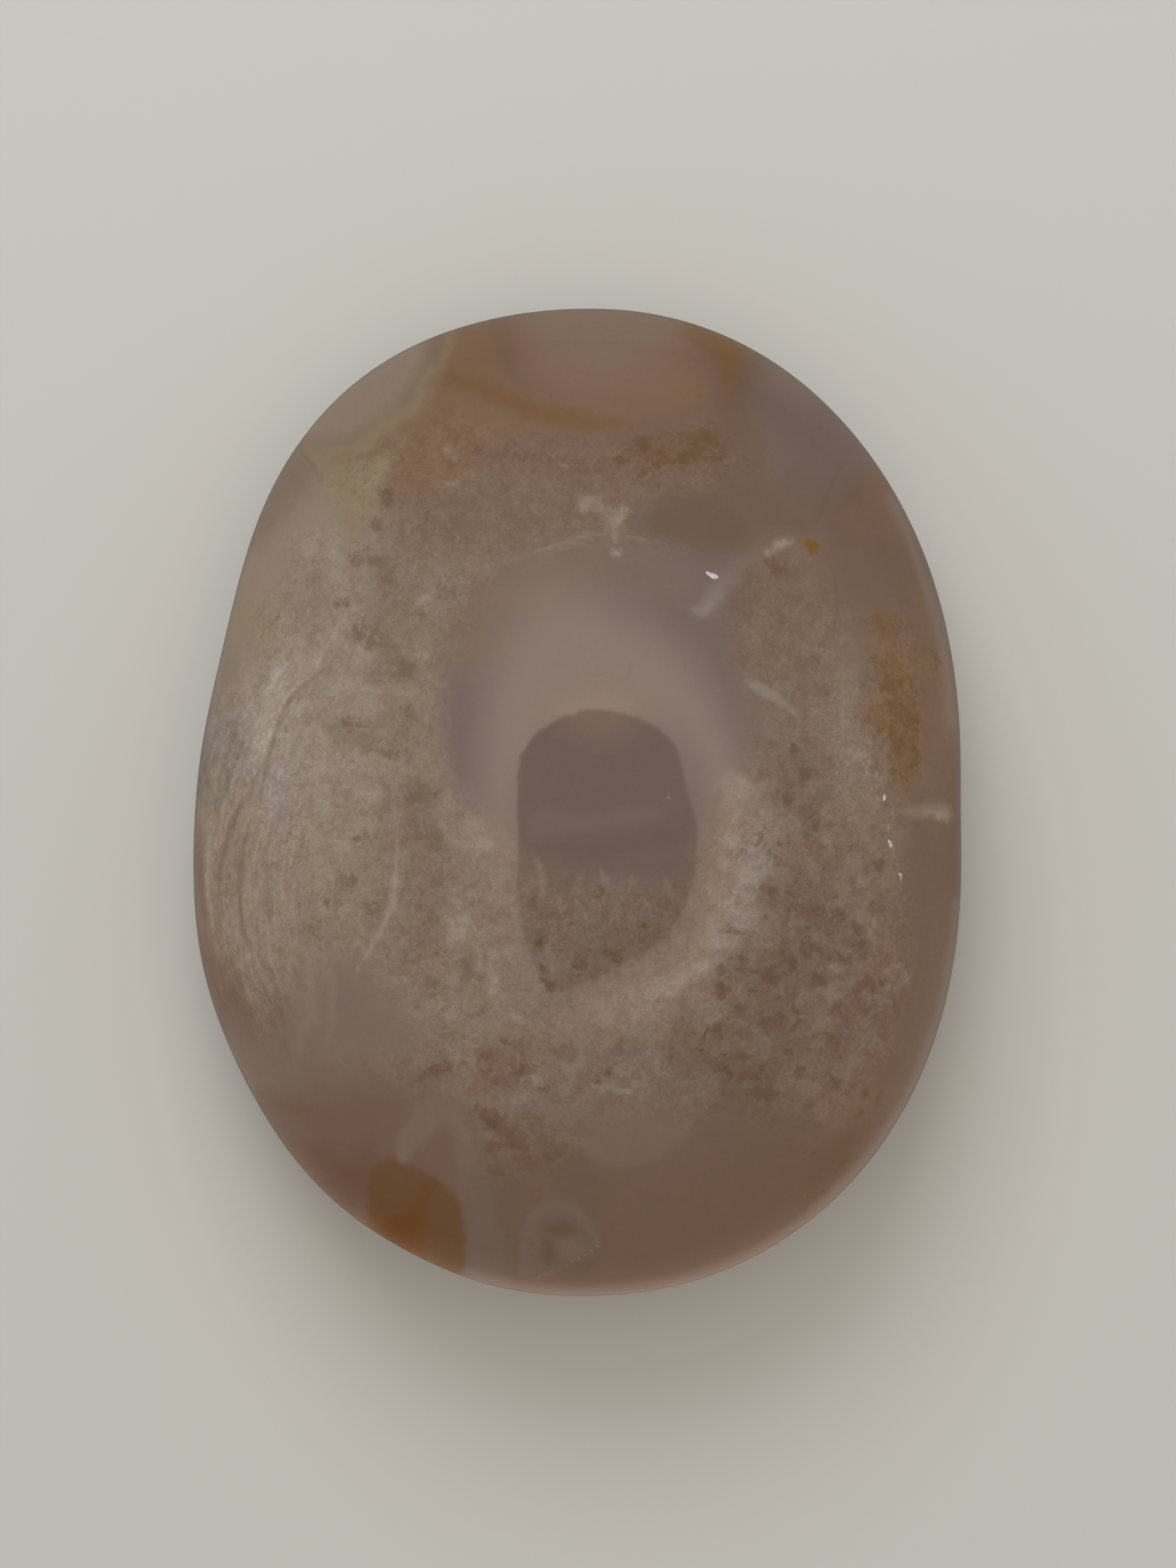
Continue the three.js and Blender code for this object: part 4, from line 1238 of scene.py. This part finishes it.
# %% Measure across and along the bands
BAND_GUIDE = [
    (-13.5, 13), (-15.6, 8.8), (-18, 4.4), (-19.8, -0.4), (-20.6, -5), (-20.2, -9.5), (-18.6, -14),
    (-17.4, -19), (-16.6, -23),
]
BELLY_ACROSS = (0.8, 0.5)
BELLY_ALONG = (-0.5, 0.8)
across, along = nearest_on_curve(crown_map, smooth_curve(BAND_GUIDE))
store("band_across_mm", across, belly_map @ BELLY_ACROSS)
store("band_along_mm", along, belly_map @ BELLY_ALONG)
crown_bands = outline(
    (-14, 11), (-17, 10), (-20, 8), (-24, 4), (-26, -4), (-24, -10), (-21, -14), (-18, -13.6),
    (-17, -9), (-17, -3), (-17, 2), (-15.5, 7)
)
belly_bands = oval(-9, -3, 4, 14, 25)
store("band_zone_mm", crown_bands(crown_map), belly_bands(belly_map))
print("points with bands:", int((crown_bands(crown_map) > 0).sum()))

# %% [markdown]
# ## The polished agate
# The finish is one material. It starts from the body colour, adds the bands and the grain of the
# crystals, then the fine marks, and ends in a glossy, slightly translucent shader. Short helpers
# keep the node graph readable: each makes one node and hands on its output.

# %% Helpers that each make one node
def empty_material(name):
    """A material with no nodes in it yet."""
    material = bpy.data.materials.new(name)
    material.use_nodes = True
    material.node_tree.nodes.clear()
    return material


def node_in(tree, kind, inputs, **settings):
    """A new node. Each input is joined to the output of another node, or set to a fixed value."""
    node = tree.nodes.new(kind)
    for name, value in settings.items():
        setattr(node, name, value)
    for key, value in inputs.items():
        if isinstance(value, bpy.types.NodeSocket):
            tree.links.new(value, node.inputs[key])
        else:
            node.inputs[key].default_value = value
    return node


agate = empty_material("polished_agate")


def add_node(kind, inputs, **settings):
    """A new node of the agate."""
    return node_in(agate.node_tree, kind, inputs, **settings)


def stored_number(name):
    """What a point of the skin has stored under a name."""
    return add_node("ShaderNodeAttribute", {}, attribute_name=name).outputs["Fac"]


def calculate(operation, first, second=0.0, third=0.0):
    """A sum, product or the like of numbers."""
    return add_node("ShaderNodeMath", {0: first, 1: second, 2: third}, operation=operation).outputs[0]


def plus_share(base, value, share):
    """A number plus a share of another one."""
    return calculate("MULTIPLY_ADD", value, share, base)


def combined(operation, first, second):
    """Two vectors or colours added, subtracted or multiplied, channel by channel."""
    return add_node("ShaderNodeVectorMath", {0: first, 1: second}, operation=operation).outputs[0]


def scaled(vector, factor):
    """A colour or a vector times a number."""
    return add_node("ShaderNodeVectorMath", {0: vector, "Scale": factor}, operation="SCALE").outputs[0]


def soft_step(value, start, end, top=1.0):
    """0 up to start, top from end on, and a soft curve between them."""
    inputs = {"Value": value, "From Min": start, "From Max": end, "To Min": 0.0, "To Max": top}
    return add_node("ShaderNodeMapRange", inputs, interpolation_type="SMOOTHSTEP").outputs["Result"]


def mix_colour(cover, under, over):
    """One colour laid over another, as far as a cover from 0 to 1 says."""
    return add_node("ShaderNodeMix", {0: cover, 6: under, 7: over}, data_type="RGBA").outputs[2]


def tint_where(cover, under, tint):
    """A colour multiplied by a tint, as far as a cover from 0 to 1 says."""
    return mix_colour(cover, under, combined("MULTIPLY", under, tint))


# %% [markdown]
# All noise is measured in millimetres in the stone itself, so it runs through the solid and shows
# no seam on any side. Crystals are ragged, so their noise is looked up at a place that another
# noise has pushed about. Crystal cells get a finer push of their own, which crumbles their edges.

# %% Where a point is, in millimetres
MM_PER_METRE = 1000.0
PUSH_LUMP_MM = 1.5
RAGGED_PUSH_MM = 1.1
CRUMB_MM = 0.4
CRUMB_PUSH_MM = 0.5
EDGE_LUMP_MM = 0.7
MIDDLE_OF_NOISE = 0.5


def noise_node(place, size_mm, detail, roughness):
    """Blender's noise, from 0 to 1, with lumps about size_mm across."""
    inputs = {"Vector": place, "Scale": 1 / size_mm, "Detail": detail, "Roughness": roughness}
    return add_node("ShaderNodeTexNoise", inputs)


def grain(place, size_mm, detail=2.0, roughness=0.5):
    """Soft noise around 0, mostly between -0.25 and 0.25."""
    noise_level = noise_node(place, size_mm, detail, roughness).outputs["Fac"]
    return calculate("SUBTRACT", noise_level, MIDDLE_OF_NOISE)


def moved(place, way, reach):
    """A place pushed reach times as far as a vector says."""
    return combined("ADD", place, scaled(way, reach))


place = scaled(add_node("ShaderNodeTexCoord", {}).outputs["Object"], MM_PER_METRE)
push = noise_node(place, PUSH_LUMP_MM, detail=2.0, roughness=0.6).outputs["Color"]
centred_push = combined("SUBTRACT", push, (MIDDLE_OF_NOISE,) * 3)
ragged_place = moved(place, centred_push, 2 * RAGGED_PUSH_MM)
crumbs = noise_node(place, CRUMB_MM, detail=2.0, roughness=0.5).outputs["Color"]
crumbled_place = moved(place, crumbs, CRUMB_PUSH_MM)
edge_noise = grain(place, EDGE_LUMP_MM, detail=4.0, roughness=0.65)


def crystal_faces(size_mm):
    """A number around 0 for each crystal about size_mm across, with crisp borders between them."""
    cells = add_node("ShaderNodeTexVoronoi", {"Vector": crumbled_place, "Scale": 1 / size_mm})
    return calculate("SUBTRACT", cells.outputs["Color"], MIDDLE_OF_NOISE)


def marking(name, softness, raggedness=0.0, strength=1.0):
    """How much of a stored marking shows at a point."""
    inside = stored_number(name)
    if raggedness:
        inside = plus_share(inside, edge_noise, raggedness)
    return soft_step(inside, -softness, softness, strength)


# %% [markdown]
# The bands are a noise that is stretched along the guide. Fine threads a quarter of a millimetre
# wide lie in broader bands, and the whole fades out at the edge of its zone.

# %% Paint the bands
BAND_WANDER_MM = 4.0
BAND_STRETCH = 0.09
THREAD_MM = 0.28
BROAD_BAND_MM = 1.1
BAND_CONTRAST = 0.55
BAND_ZONE_SOFTNESS_MM = 2.0
BAND_ZONE_RAGGED_MM = 1.0

colour = add_node("ShaderNodeAttribute", {}, attribute_name="body_colour").outputs["Color"]
band_across = calculate("ADD", grain(place, BAND_WANDER_MM), stored_number("band_across_mm"))
band_along = calculate("MULTIPLY", stored_number("band_along_mm"), BAND_STRETCH)
band_place = add_node("ShaderNodeCombineXYZ", {0: band_across, 1: band_along}).outputs[0]
threads = grain(band_place, THREAD_MM, detail=2.0, roughness=0.7)
broad_bands = grain(band_place, BROAD_BAND_MM, detail=2.0, roughness=0.6)
band_light = plus_share(1.0, broad_bands, BAND_CONTRAST)
band_light = plus_share(band_light, threads, BAND_CONTRAST)
band_zone = marking("band_zone_mm", BAND_ZONE_SOFTNESS_MM, BAND_ZONE_RAGGED_MM)
colour = mix_colour(band_zone, colour, scaled(colour, band_light))

# %% [markdown]
# Crystals show lumps of every size, none of them much stronger than the next: soft clouds of about
# 3 mm, clots of one, and sugar grains of a few tenths. Crisp crystals of two sizes, each with its
# own lightness, lie among them. The clots lean to red where they are dark and to a cool grey where
# they are light. Even the smooth parts carry a trace of the finest grain.

# %% Paint the crystals
CRYSTAL_SOFTNESS_MM = 1.4
CRYSTAL_RAGGED_MM = 2.4
CLOUD_MM = 3.2
CLOUD_STRENGTH = 0.16
CLOT_MM = 1.1
CLOT_STRENGTH = 0.24
CLOT_EDGE = (-0.06, 0.03)
CLOT_EDGE_STRENGTH = 0.075
SUGAR_MM = 0.34
SUGAR_STRENGTH = 0.75
TRACE_MM = 0.4
TRACE_STRENGTH = 0.2
COARSE_CRYSTAL_MM = 0.75
COARSE_CRYSTAL_STRENGTH = 0.09
FINE_CRYSTAL_MM = 0.32
FINE_CRYSTAL_STRENGTH = 0.10
MEAN_CRYSTAL_LIGHT = 0.955
CLOT_TINT_SPAN = 0.14
DARK_CLOT_TINT = (1.03, 0.985, 0.96, 1.0)
LIGHT_CLOT_TINT = (0.98, 1.01, 1.025, 1.0)

crystal = marking("crystal_mm", CRYSTAL_SOFTNESS_MM, CRYSTAL_RAGGED_MM)
clots = grain(ragged_place, CLOT_MM, detail=4.0, roughness=0.65)
sugar = grain(place, SUGAR_MM, detail=3.0, roughness=0.95)
trace = grain(place, TRACE_MM, detail=3.0, roughness=0.9)
grain_light = plus_share(MEAN_CRYSTAL_LIGHT, grain(ragged_place, CLOUD_MM), CLOUD_STRENGTH)
grain_light = plus_share(grain_light, clots, CLOT_STRENGTH)
grain_light = calculate("ADD", grain_light, soft_step(clots, *CLOT_EDGE, CLOT_EDGE_STRENGTH))
grain_light = plus_share(grain_light, sugar, SUGAR_STRENGTH)
grain_light = plus_share(grain_light, crystal_faces(COARSE_CRYSTAL_MM), COARSE_CRYSTAL_STRENGTH)
grain_light = plus_share(grain_light, crystal_faces(FINE_CRYSTAL_MM), FINE_CRYSTAL_STRENGTH)
colour = scaled(colour, plus_share(1.0, trace, TRACE_STRENGTH))
colour = mix_colour(crystal, colour, scaled(colour, grain_light))
clot_lightness = soft_step(clots, -CLOT_TINT_SPAN, CLOT_TINT_SPAN)
clot_tint = mix_colour(clot_lightness, DARK_CLOT_TINT, LIGHT_CLOT_TINT)
colour = tint_where(crystal, colour, clot_tint)

# %% [markdown]
# A bright net runs between the clots, where crystal faces catch the light, and a finer one inside
# them. A noise crosses zero along closed loops, so the places where it is close to zero are a net.

# %% Paint the bright nets
NET_MM = 1.5
NET_HALF_WIDTH = 0.035
NET_STRENGTH = 0.5
NET_TINT = (1.12, 1.15, 1.16)
FINE_NET_MM = 0.62
FINE_NET_HALF_WIDTH = 0.04
FINE_NET_STRENGTH = 0.6
FINE_NET_TINT = (1.12, 1.14, 1.15)


def net_in_crystals(lumps, half_width, strength):
    """How much of a net shows at a point, drawn where some noise is close to zero."""
    lines = soft_step(calculate("ABSOLUTE", lumps), half_width, 0.0, strength)
    return calculate("MULTIPLY", lines, crystal)


net_lumps = grain(ragged_place, NET_MM, detail=3.0, roughness=0.6)
fine_net_lumps = grain(ragged_place, FINE_NET_MM, detail=2.0, roughness=0.6)
net = net_in_crystals(net_lumps, NET_HALF_WIDTH, NET_STRENGTH)
fine_net = net_in_crystals(fine_net_lumps, FINE_NET_HALF_WIDTH, FINE_NET_STRENGTH)
colour = tint_where(net, colour, NET_TINT)
colour = tint_where(fine_net, colour, FINE_NET_TINT)

# %% [markdown]
# In places the crystals stand in feathers and tufts of cottony white.

# %% Paint the tufts
TUFT_MM = 0.8
TUFT_FACE_MM = 0.24
TUFT_FACE_STRENGTH = 0.30
TUFT_EDGE = (0.0, 0.14)
TUFT_STRENGTH = 0.6
FEATHER_SOFTNESS_MM = 1.5
TUFT_TINT = (1.20, 1.24, 1.28)

tuft_lumps = grain(ragged_place, TUFT_MM, detail=4.0, roughness=0.75)
tuft_lumps = plus_share(tuft_lumps, crystal_faces(TUFT_FACE_MM), TUFT_FACE_STRENGTH)
feathers = calculate("MULTIPLY", marking("feather_mm", FEATHER_SOFTNESS_MM), crystal)
tufts = calculate("MULTIPLY", soft_step(tuft_lumps, *TUFT_EDGE, TUFT_STRENGTH), feathers)
colour = tint_where(tufts, colour, TUFT_TINT)

# %% [markdown]
# Where the crystals are coarse they are mottled: mauve patches one or two millimetres across, with
# small dark cores, and a cool light net between them.

# %% Paint the mauve patches and their cores
PATCH_SOFTNESS_MM = 2.0
MOTTLE_MM = 1.7
MOTTLE_EDGE = (-0.02, 0.05)
BETWEEN_EDGE = (-0.02, -0.10)
CORE_MM = 0.9
CORE_FACE_MM = 0.5
CORE_FACE_STRENGTH = 0.22
CORE_EDGE = (0.08, 0.11)
CORE_STRENGTH = 0.8
MOTTLE_TINT = (0.98, 0.92, 0.905)
CORE_TINT = (0.72, 0.69, 0.63)
BETWEEN_TINT = (1.07, 1.12, 1.13)

mottle_zone = calculate("MULTIPLY", marking("patch_mm", PATCH_SOFTNESS_MM), crystal)
mottle_lumps = grain(ragged_place, MOTTLE_MM, detail=3.0, roughness=0.6)
mottle = calculate("MULTIPLY", soft_step(mottle_lumps, *MOTTLE_EDGE), mottle_zone)
between = calculate("MULTIPLY", soft_step(mottle_lumps, *BETWEEN_EDGE), mottle_zone)
core_lumps = grain(ragged_place, CORE_MM, detail=3.0, roughness=0.65)
core_lumps = plus_share(core_lumps, crystal_faces(CORE_FACE_MM), CORE_FACE_STRENGTH)
cores = calculate("MULTIPLY", soft_step(core_lumps, *CORE_EDGE, CORE_STRENGTH), mottle)
colour = tint_where(mottle, colour, MOTTLE_TINT)
colour = tint_where(between, colour, BETWEEN_TINT)
colour = tint_where(cores, colour, CORE_TINT)

# %% [markdown]
# The fine marks go on last, in the order of their lists. A soft uneven noise thins them here and
# there, so that what is under them shows through, as it does in cloudy quartz. The painted glints,
# painted highlights of a lamp in the polish, then get a white that is brighter than any of the
# palette's tones.

# %% Paint the fine marks
UNEVEN_MM = 0.45
UNEVEN_EDGE = (-0.16, 0.10)
GLINT_SOFTNESS_MM = 0.06
GLINT_RAGGED_MM = 0.1
GLINT_STRENGTH = 0.9
PAINTED_GLINT_WHITE = (0.62, 0.58, 0.52, 1.0)

uneven = soft_step(grain(place, UNEVEN_MM, detail=3.0, roughness=0.7), *UNEVEN_EDGE)
for name, kind in FINE_MARKS.items():
    paint_name, softness, raggedness, unevenness, strength = kind[:-1]
    thinning = plus_share(1 - unevenness, uneven, unevenness)
    cover = calculate("MULTIPLY", marking(name, softness, raggedness, strength), thinning)
    colour = mix_colour(cover, colour, (*PALETTE[paint_name], 1.0))
# painted highlights: the glints get a white brighter than the stone's own tones
painted_glints = marking("painted_glints", GLINT_SOFTNESS_MM, GLINT_RAGGED_MM, GLINT_STRENGTH)
colour = mix_colour(painted_glints, colour, PAINTED_GLINT_WHITE)
print("nodes that paint the colour:", len(agate.node_tree.nodes))

# %% [markdown]
# Polished agate lets light a few millimetres in before it comes out again, so the shader mixes
# subsurface scattering into the diffuse light. The polish is very smooth on chalcedony and a
# touch rougher over the crystals. The light here is a little warm, so the colour is divided by
# the light's own colour as well as by its amount.

# %% The shader
LIGHT_COLOUR = np.array((1.0, 0.94, 0.88))
SCATTER_SHARE = 0.2
SCATTER_DEPTH = 0.8 * MM
SCATTER_SPREAD = (1.0, 0.7, 0.5)
QUARTZ_IOR = 1.54
POLISH_ROUGHNESS = 0.04
CRYSTAL_ROUGHNESS = 0.015

one_over_light = calculate("DIVIDE", 1.0, stored_number("light_share"))
own_colour = combined("MULTIPLY", scaled(colour, one_over_light), tuple(1 / LIGHT_COLOUR))
shader = add_node("ShaderNodeBsdfPrincipled", {
    "Base Color": own_colour,
    "Roughness": plus_share(POLISH_ROUGHNESS, crystal, CRYSTAL_ROUGHNESS),
    "IOR": QUARTZ_IOR,
    "Subsurface Weight": SCATTER_SHARE,
    "Subsurface Radius": SCATTER_SPREAD,
    "Subsurface Scale": SCATTER_DEPTH,
})
add_node("ShaderNodeOutputMaterial", {"Surface": shader.outputs["BSDF"]})
skin.materials.append(agate)
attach(agate_stone, "root")
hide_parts(STONE_NODE)
print("nodes in the agate:", len(agate.node_tree.nodes))

# %% [markdown]
# ## The floor and the light
# The stone lies on a plain pale sheet. Soft light comes from all round, a little more from the
# top of the frame, and a round soft panel hangs overhead. The polish mirrors that panel, and in
# the middle of it a dark card that hangs under the panel.

# %% The pale sheet
SHEET_SIZE = 3.0
SHEET_COLOUR = (0.642, 0.657, 0.636, 1.0)
SHEET_ROUGHNESS = 0.9


def plain_material(name, colour, roughness):
    """A material of one colour, for things that aren't part of the object."""
    material = bpy.data.materials.new(name)
    material.use_nodes = True
    shader = material.node_tree.nodes["Principled BSDF"]
    shader.inputs["Base Color"].default_value = colour
    shader.inputs["Roughness"].default_value = roughness
    return material


def flat_mesh(name, corners):
    """A flat thing of the stage, made of one face."""
    mesh = bpy.data.meshes.new(name)
    mesh.from_pydata(corners, [], [tuple(range(len(corners)))])
    thing = bpy.data.objects.new(name, mesh)
    scene.collection.objects.link(thing)
    return thing


half = SHEET_SIZE / 2
sheet_corners = [(-half, -half, 0), (half, -half, 0), (half, half, 0), (-half, half, 0)]
pale_sheet = flat_mesh("pale_sheet", sheet_corners)
matt_paper = plain_material("matt_paper", SHEET_COLOUR, SHEET_ROUGHNESS)
pale_sheet.data.materials.append(matt_paper)

# %% [markdown]
# The walls of the real stone hardly mirror their surroundings. The renderer's polish would show
# them as a pale ring just inside the outline, so for rays that come off a polish the sheet is
# made darker.

# %% Dim the sheet in reflections
SHEET_IN_POLISH = 0.30
paper_tree = matt_paper.node_tree
mirrored_colour = (*(channel * SHEET_IN_POLISH for channel in SHEET_COLOUR[:3]), 1.0)
off_a_polish = node_in(paper_tree, "ShaderNodeLightPath", {}).outputs["Is Glossy Ray"]
paper_inputs = {0: off_a_polish, 6: SHEET_COLOUR, 7: mirrored_colour}
paper_colour = node_in(paper_tree, "ShaderNodeMix", paper_inputs, data_type="RGBA").outputs[2]
paper_tree.links.new(paper_colour, paper_tree.nodes["Principled BSDF"].inputs["Base Color"])
print("the sheet in the polish:", [round(channel, 2) for channel in mirrored_colour[:3]])

# %% [markdown]
# The light from all round is the world's background, a little brighter towards the top of the
# frame. A picture of a room would light the stone as well, but two levels and a direction are
# easier to tune. In the polish this sky fades at the horizon to the level of the dimmed sheet, so
# that no line shows where they meet.

# %% Light from all round
SKY_LOW = 0.24
SKY_HIGH = 0.49
BRIGHTER_SIDE = Vector((-0.18, 0.86, 0.4)).normalized()
SKY_TINT = (1.0, 1.0, 0.985, 1.0)
HORIZON_IN_POLISH = 0.15
FULL_SKY_FROM = 0.6
world = bpy.data.worlds.new("soft_room")
scene.world = world
world.use_nodes = True
sky = world.node_tree
sky.nodes.clear()


def sky_level(value, lowest, highest, low_level, high_level):
    """A brightness that goes from one level to another as a value rises."""
    inputs = {"Value": value, "From Min": lowest, "From Max": highest,
              "To Min": low_level, "To Max": high_level}
    return node_in(sky, "ShaderNodeMapRange", inputs).outputs["Result"]


sky_way = node_in(sky, "ShaderNodeTexCoord", {}).outputs["Generated"]
facing_inputs = {0: sky_way, 1: BRIGHTER_SIDE}
facing = node_in(sky, "ShaderNodeVectorMath", facing_inputs, operation="DOT_PRODUCT")
upward = node_in(sky, "ShaderNodeSeparateXYZ", {0: sky_way}).outputs["Z"]
level = sky_level(facing.outputs["Value"], -1.0, 1.0, SKY_LOW, SKY_HIGH)
polish_level = sky_level(upward, 0.0, FULL_SKY_FROM, HORIZON_IN_POLISH, level)
from_polish = node_in(sky, "ShaderNodeLightPath", {}).outputs["Is Glossy Ray"]
sky_strength = node_in(sky, "ShaderNodeMix", {0: from_polish, 2: level, 3: polish_level}).outputs[0]
glow = node_in(sky, "ShaderNodeBackground", {"Color": SKY_TINT, "Strength": sky_strength})
node_in(sky, "ShaderNodeOutputWorld", {"Surface": glow.outputs["Background"]})
print("sky from", SKY_LOW, "to", SKY_HIGH)

# %% [markdown]
# One broad lamp from the top of the frame rounds the form and draws the soft shadow below the
# stone. It is kept out of the polish, where it would show as a second bright disc.

# %% A broad light from the top of the frame
TOP_LIGHT_SPOT = Vector((-0.05, 0.25, 0.32))
TOP_LIGHT_SIZE = 0.24
TOP_LIGHT_WATTS = 0.60
top_light_data = bpy.data.lights.new("top_light", "AREA")
top_light_data.shape = "DISK"
top_light_data.size = TOP_LIGHT_SIZE
top_light_data.energy = TOP_LIGHT_WATTS
top_light = bpy.data.objects.new("top_light", top_light_data)
top_light.location = TOP_LIGHT_SPOT
top_light.rotation_euler = (-TOP_LIGHT_SPOT).to_track_quat("-Z", "Y").to_euler()
top_light.visible_glossy = False
scene.collection.objects.link(top_light)
print("top light, m from the stone:", round(TOP_LIGHT_SPOT.length, 2))

# %% [markdown]
# To shape the panel and the card under it, I follow the light backwards: down to a point of the
# polish, and from there off the stone and up to the height of the panel. So a shape that is
# wanted in the reflection can be noted in millimetres on the stone.

# %% Follow rays off the polish
skin_tree = BVHTree.FromObject(agate_stone, bpy.context.evaluated_depsgraph_get())


def mirrored_up(x_mm, y_mm, height):
    """The point at a height that the camera sees mirrored at a point of the crown map."""
    aim = Vector((x_mm * MM, y_mm * MM, GIRTH_HEIGHT))
    look = (aim - camera_spot).normalized()
    spot, normal = skin_tree.ray_cast(camera_spot, look)[:2]
    bounced = look.reflect(normal)
    return spot + bounced * ((height - spot.z) / bounced.z)


# %% [markdown]
# The panel hangs high and the card below it, so that the card hides the middle of the panel. These
# are the panel's soft edge and the card's outline as they show on the stone.

# %% Outline the panel and the card, in mm on the stone
PANEL_HEIGHT = 0.80
CARD_HEIGHT = 0.45
PANEL_EDGE_SEEN = [
    (9.2, 5.0), (7.2, 8.6), (3.8, 11.4), (-1.6, 13.4), (-4.9, 9.8), (-6.1, 3.4), (-5.7, -4),
    (-4.3, -9.5), (0.2, -13.6), (5.4, -12.2), (8.8, -8), (9.8, -2), (10.0, 2),
]
CARD_EDGE_SEEN = [
    (1.2, 5.8), (-1.6, 5.0), (-3.3, 3.4), (-3.75, 1.5), (-3.7, -2.5), (-3.7, -6), (-3.1, -9.2),
    (-1.9, -11.85), (-1.3, -11.9), (0.8, -11.3), (3.0, -10.1), (5.6, -8.5), (7.0, -5.8),
    (7.5, -3.4), (7.5, -1.4), (6.9, 0.8), (6.5, 2.8), (5.6, 4.2), (3.8, 5.3),
]

# %% [markdown]
# The panel is a disc of rings, so that its glow can fade from the middle to the edge. An area lamp
# has a hard edge, and would show one. The pale veil is weaker beside the dark shape, most of all
# at its lower right, so the panel glows less where its mirror image is close to the card's.

# %% Lay out the panel and its glow
PANEL_STEPS = 32
PANEL_SOFTNESS = 0.22
CARD_SHADE = 0.7
CARD_SHADE_REACH_MM = 2.6
CARD_SHADE_INNER_MM = (1.2, 0.2)
SHADED_WAY = (-0.5, 1.0)
SHADED_SPAN_MM = (7.0, -5.0)


def card_shade(seen_mm):
    """How much of the panel's glow is lost at points that are seen close to the card."""
    in_the_card = outline(*CARD_EDGE_SEEN)(seen_mm)
    from_outside = ease(in_the_card, -CARD_SHADE_REACH_MM, 0.0)
    from_inside = ease(in_the_card, *CARD_SHADE_INNER_MM)
    lower_right = ease(seen_mm @ SHADED_WAY, *SHADED_SPAN_MM)
    return CARD_SHADE * lower_right * from_outside * from_inside


panel_edge = smooth_curve(PANEL_EDGE_SEEN, closed=True)[:-1]
panel_middle = panel_edge.mean(axis=0)
panel_rings = [panel_middle[None]]
panel_fade = [np.ones(1)]
for step in range(1, PANEL_STEPS + 1):
    share = step / PANEL_STEPS * (1 + PANEL_SOFTNESS)
    fade = ease(share, 1 + PANEL_SOFTNESS, 1 - PANEL_SOFTNESS)
    panel_rings.append(panel_middle + (panel_edge - panel_middle) * share)
    panel_fade.append(np.full(len(panel_edge), fade))
panel_seen = np.concatenate(panel_rings)
panel_glow = np.concatenate(panel_fade) * (1 - card_shade(panel_seen))
panel_points = [mirrored_up(x, y, PANEL_HEIGHT) for x, y in panel_seen]
print("panel points:", len(panel_points))

# %% Join the panel
ring_size = len(panel_edge)
panel_faces = []
for i in range(ring_size):
    following = (i + 1) % ring_size
    panel_faces.append((0, 1 + i, 1 + following))
    for step in range(PANEL_STEPS - 1):
        inner = 1 + step * ring_size
        outer = inner + ring_size
        panel_faces.append((inner + i, outer + i, outer + following, inner + following))
panel_mesh = bpy.data.meshes.new("overhead_panel")
panel_mesh.from_pydata(panel_points, [], panel_faces)
panel_mesh.attributes.new("glow", "FLOAT", "POINT").data.foreach_set("value", panel_glow)
overhead_panel = bpy.data.objects.new("overhead_panel", panel_mesh)
overhead_panel.visible_camera = False
overhead_panel.visible_shadow = False
scene.collection.objects.link(overhead_panel)
print("panel spans, m:", [round(side, 2) for side in overhead_panel.dimensions])

# %% [markdown]
# Emission makes the panel a lamp. It is mixed with a see-through shader by the stored glow, so that
# the edge fades to nothing.

# %% Let the panel glow
PANEL_RADIANCE = 2.15
PANEL_COLOUR = (1.0, 0.82, 0.66, 1.0)
panel_light = empty_material("panel_light")
light_tree = panel_light.node_tree
glow_here = node_in(light_tree, "ShaderNodeAttribute", {}, attribute_name="glow").outputs["Fac"]
clear = node_in(light_tree, "ShaderNodeBsdfTransparent", {}).outputs[0]
glowing_inputs = {"Color": PANEL_COLOUR, "Strength": PANEL_RADIANCE}
glowing = node_in(light_tree, "ShaderNodeEmission", glowing_inputs).outputs[0]
faded = node_in(light_tree, "ShaderNodeMixShader", {0: glow_here, 1: clear, 2: glowing}).outputs[0]
node_in(light_tree, "ShaderNodeOutputMaterial", {"Surface": faded})
panel_mesh.materials.append(panel_light)
print("panel radiance:", PANEL_RADIANCE)

# %% [markdown]
# The dark card is one flat face whose outline is followed up from the stone, like the panel's. Only
# the polish sees it: it throws no shadow and takes no light from the stone.

# %% Hang the dark card
CARD_COLOUR = (0.01, 0.01, 0.01, 1.0)
CARD_ROUGHNESS = 0.8
card_seen = smooth_curve(CARD_EDGE_SEEN, closed=True)[:-1]
dark_card = flat_mesh("dark_card", [mirrored_up(x, y, CARD_HEIGHT) for x, y in card_seen])
dark_card.data.materials.append(plain_material("black_card", CARD_COLOUR, CARD_ROUGHNESS))
dark_card.visible_camera = False
dark_card.visible_diffuse = False
dark_card.visible_shadow = False
dark_card.visible_transmission = False
print("card spans, m:", [round(side, 2) for side in dark_card.dimensions])
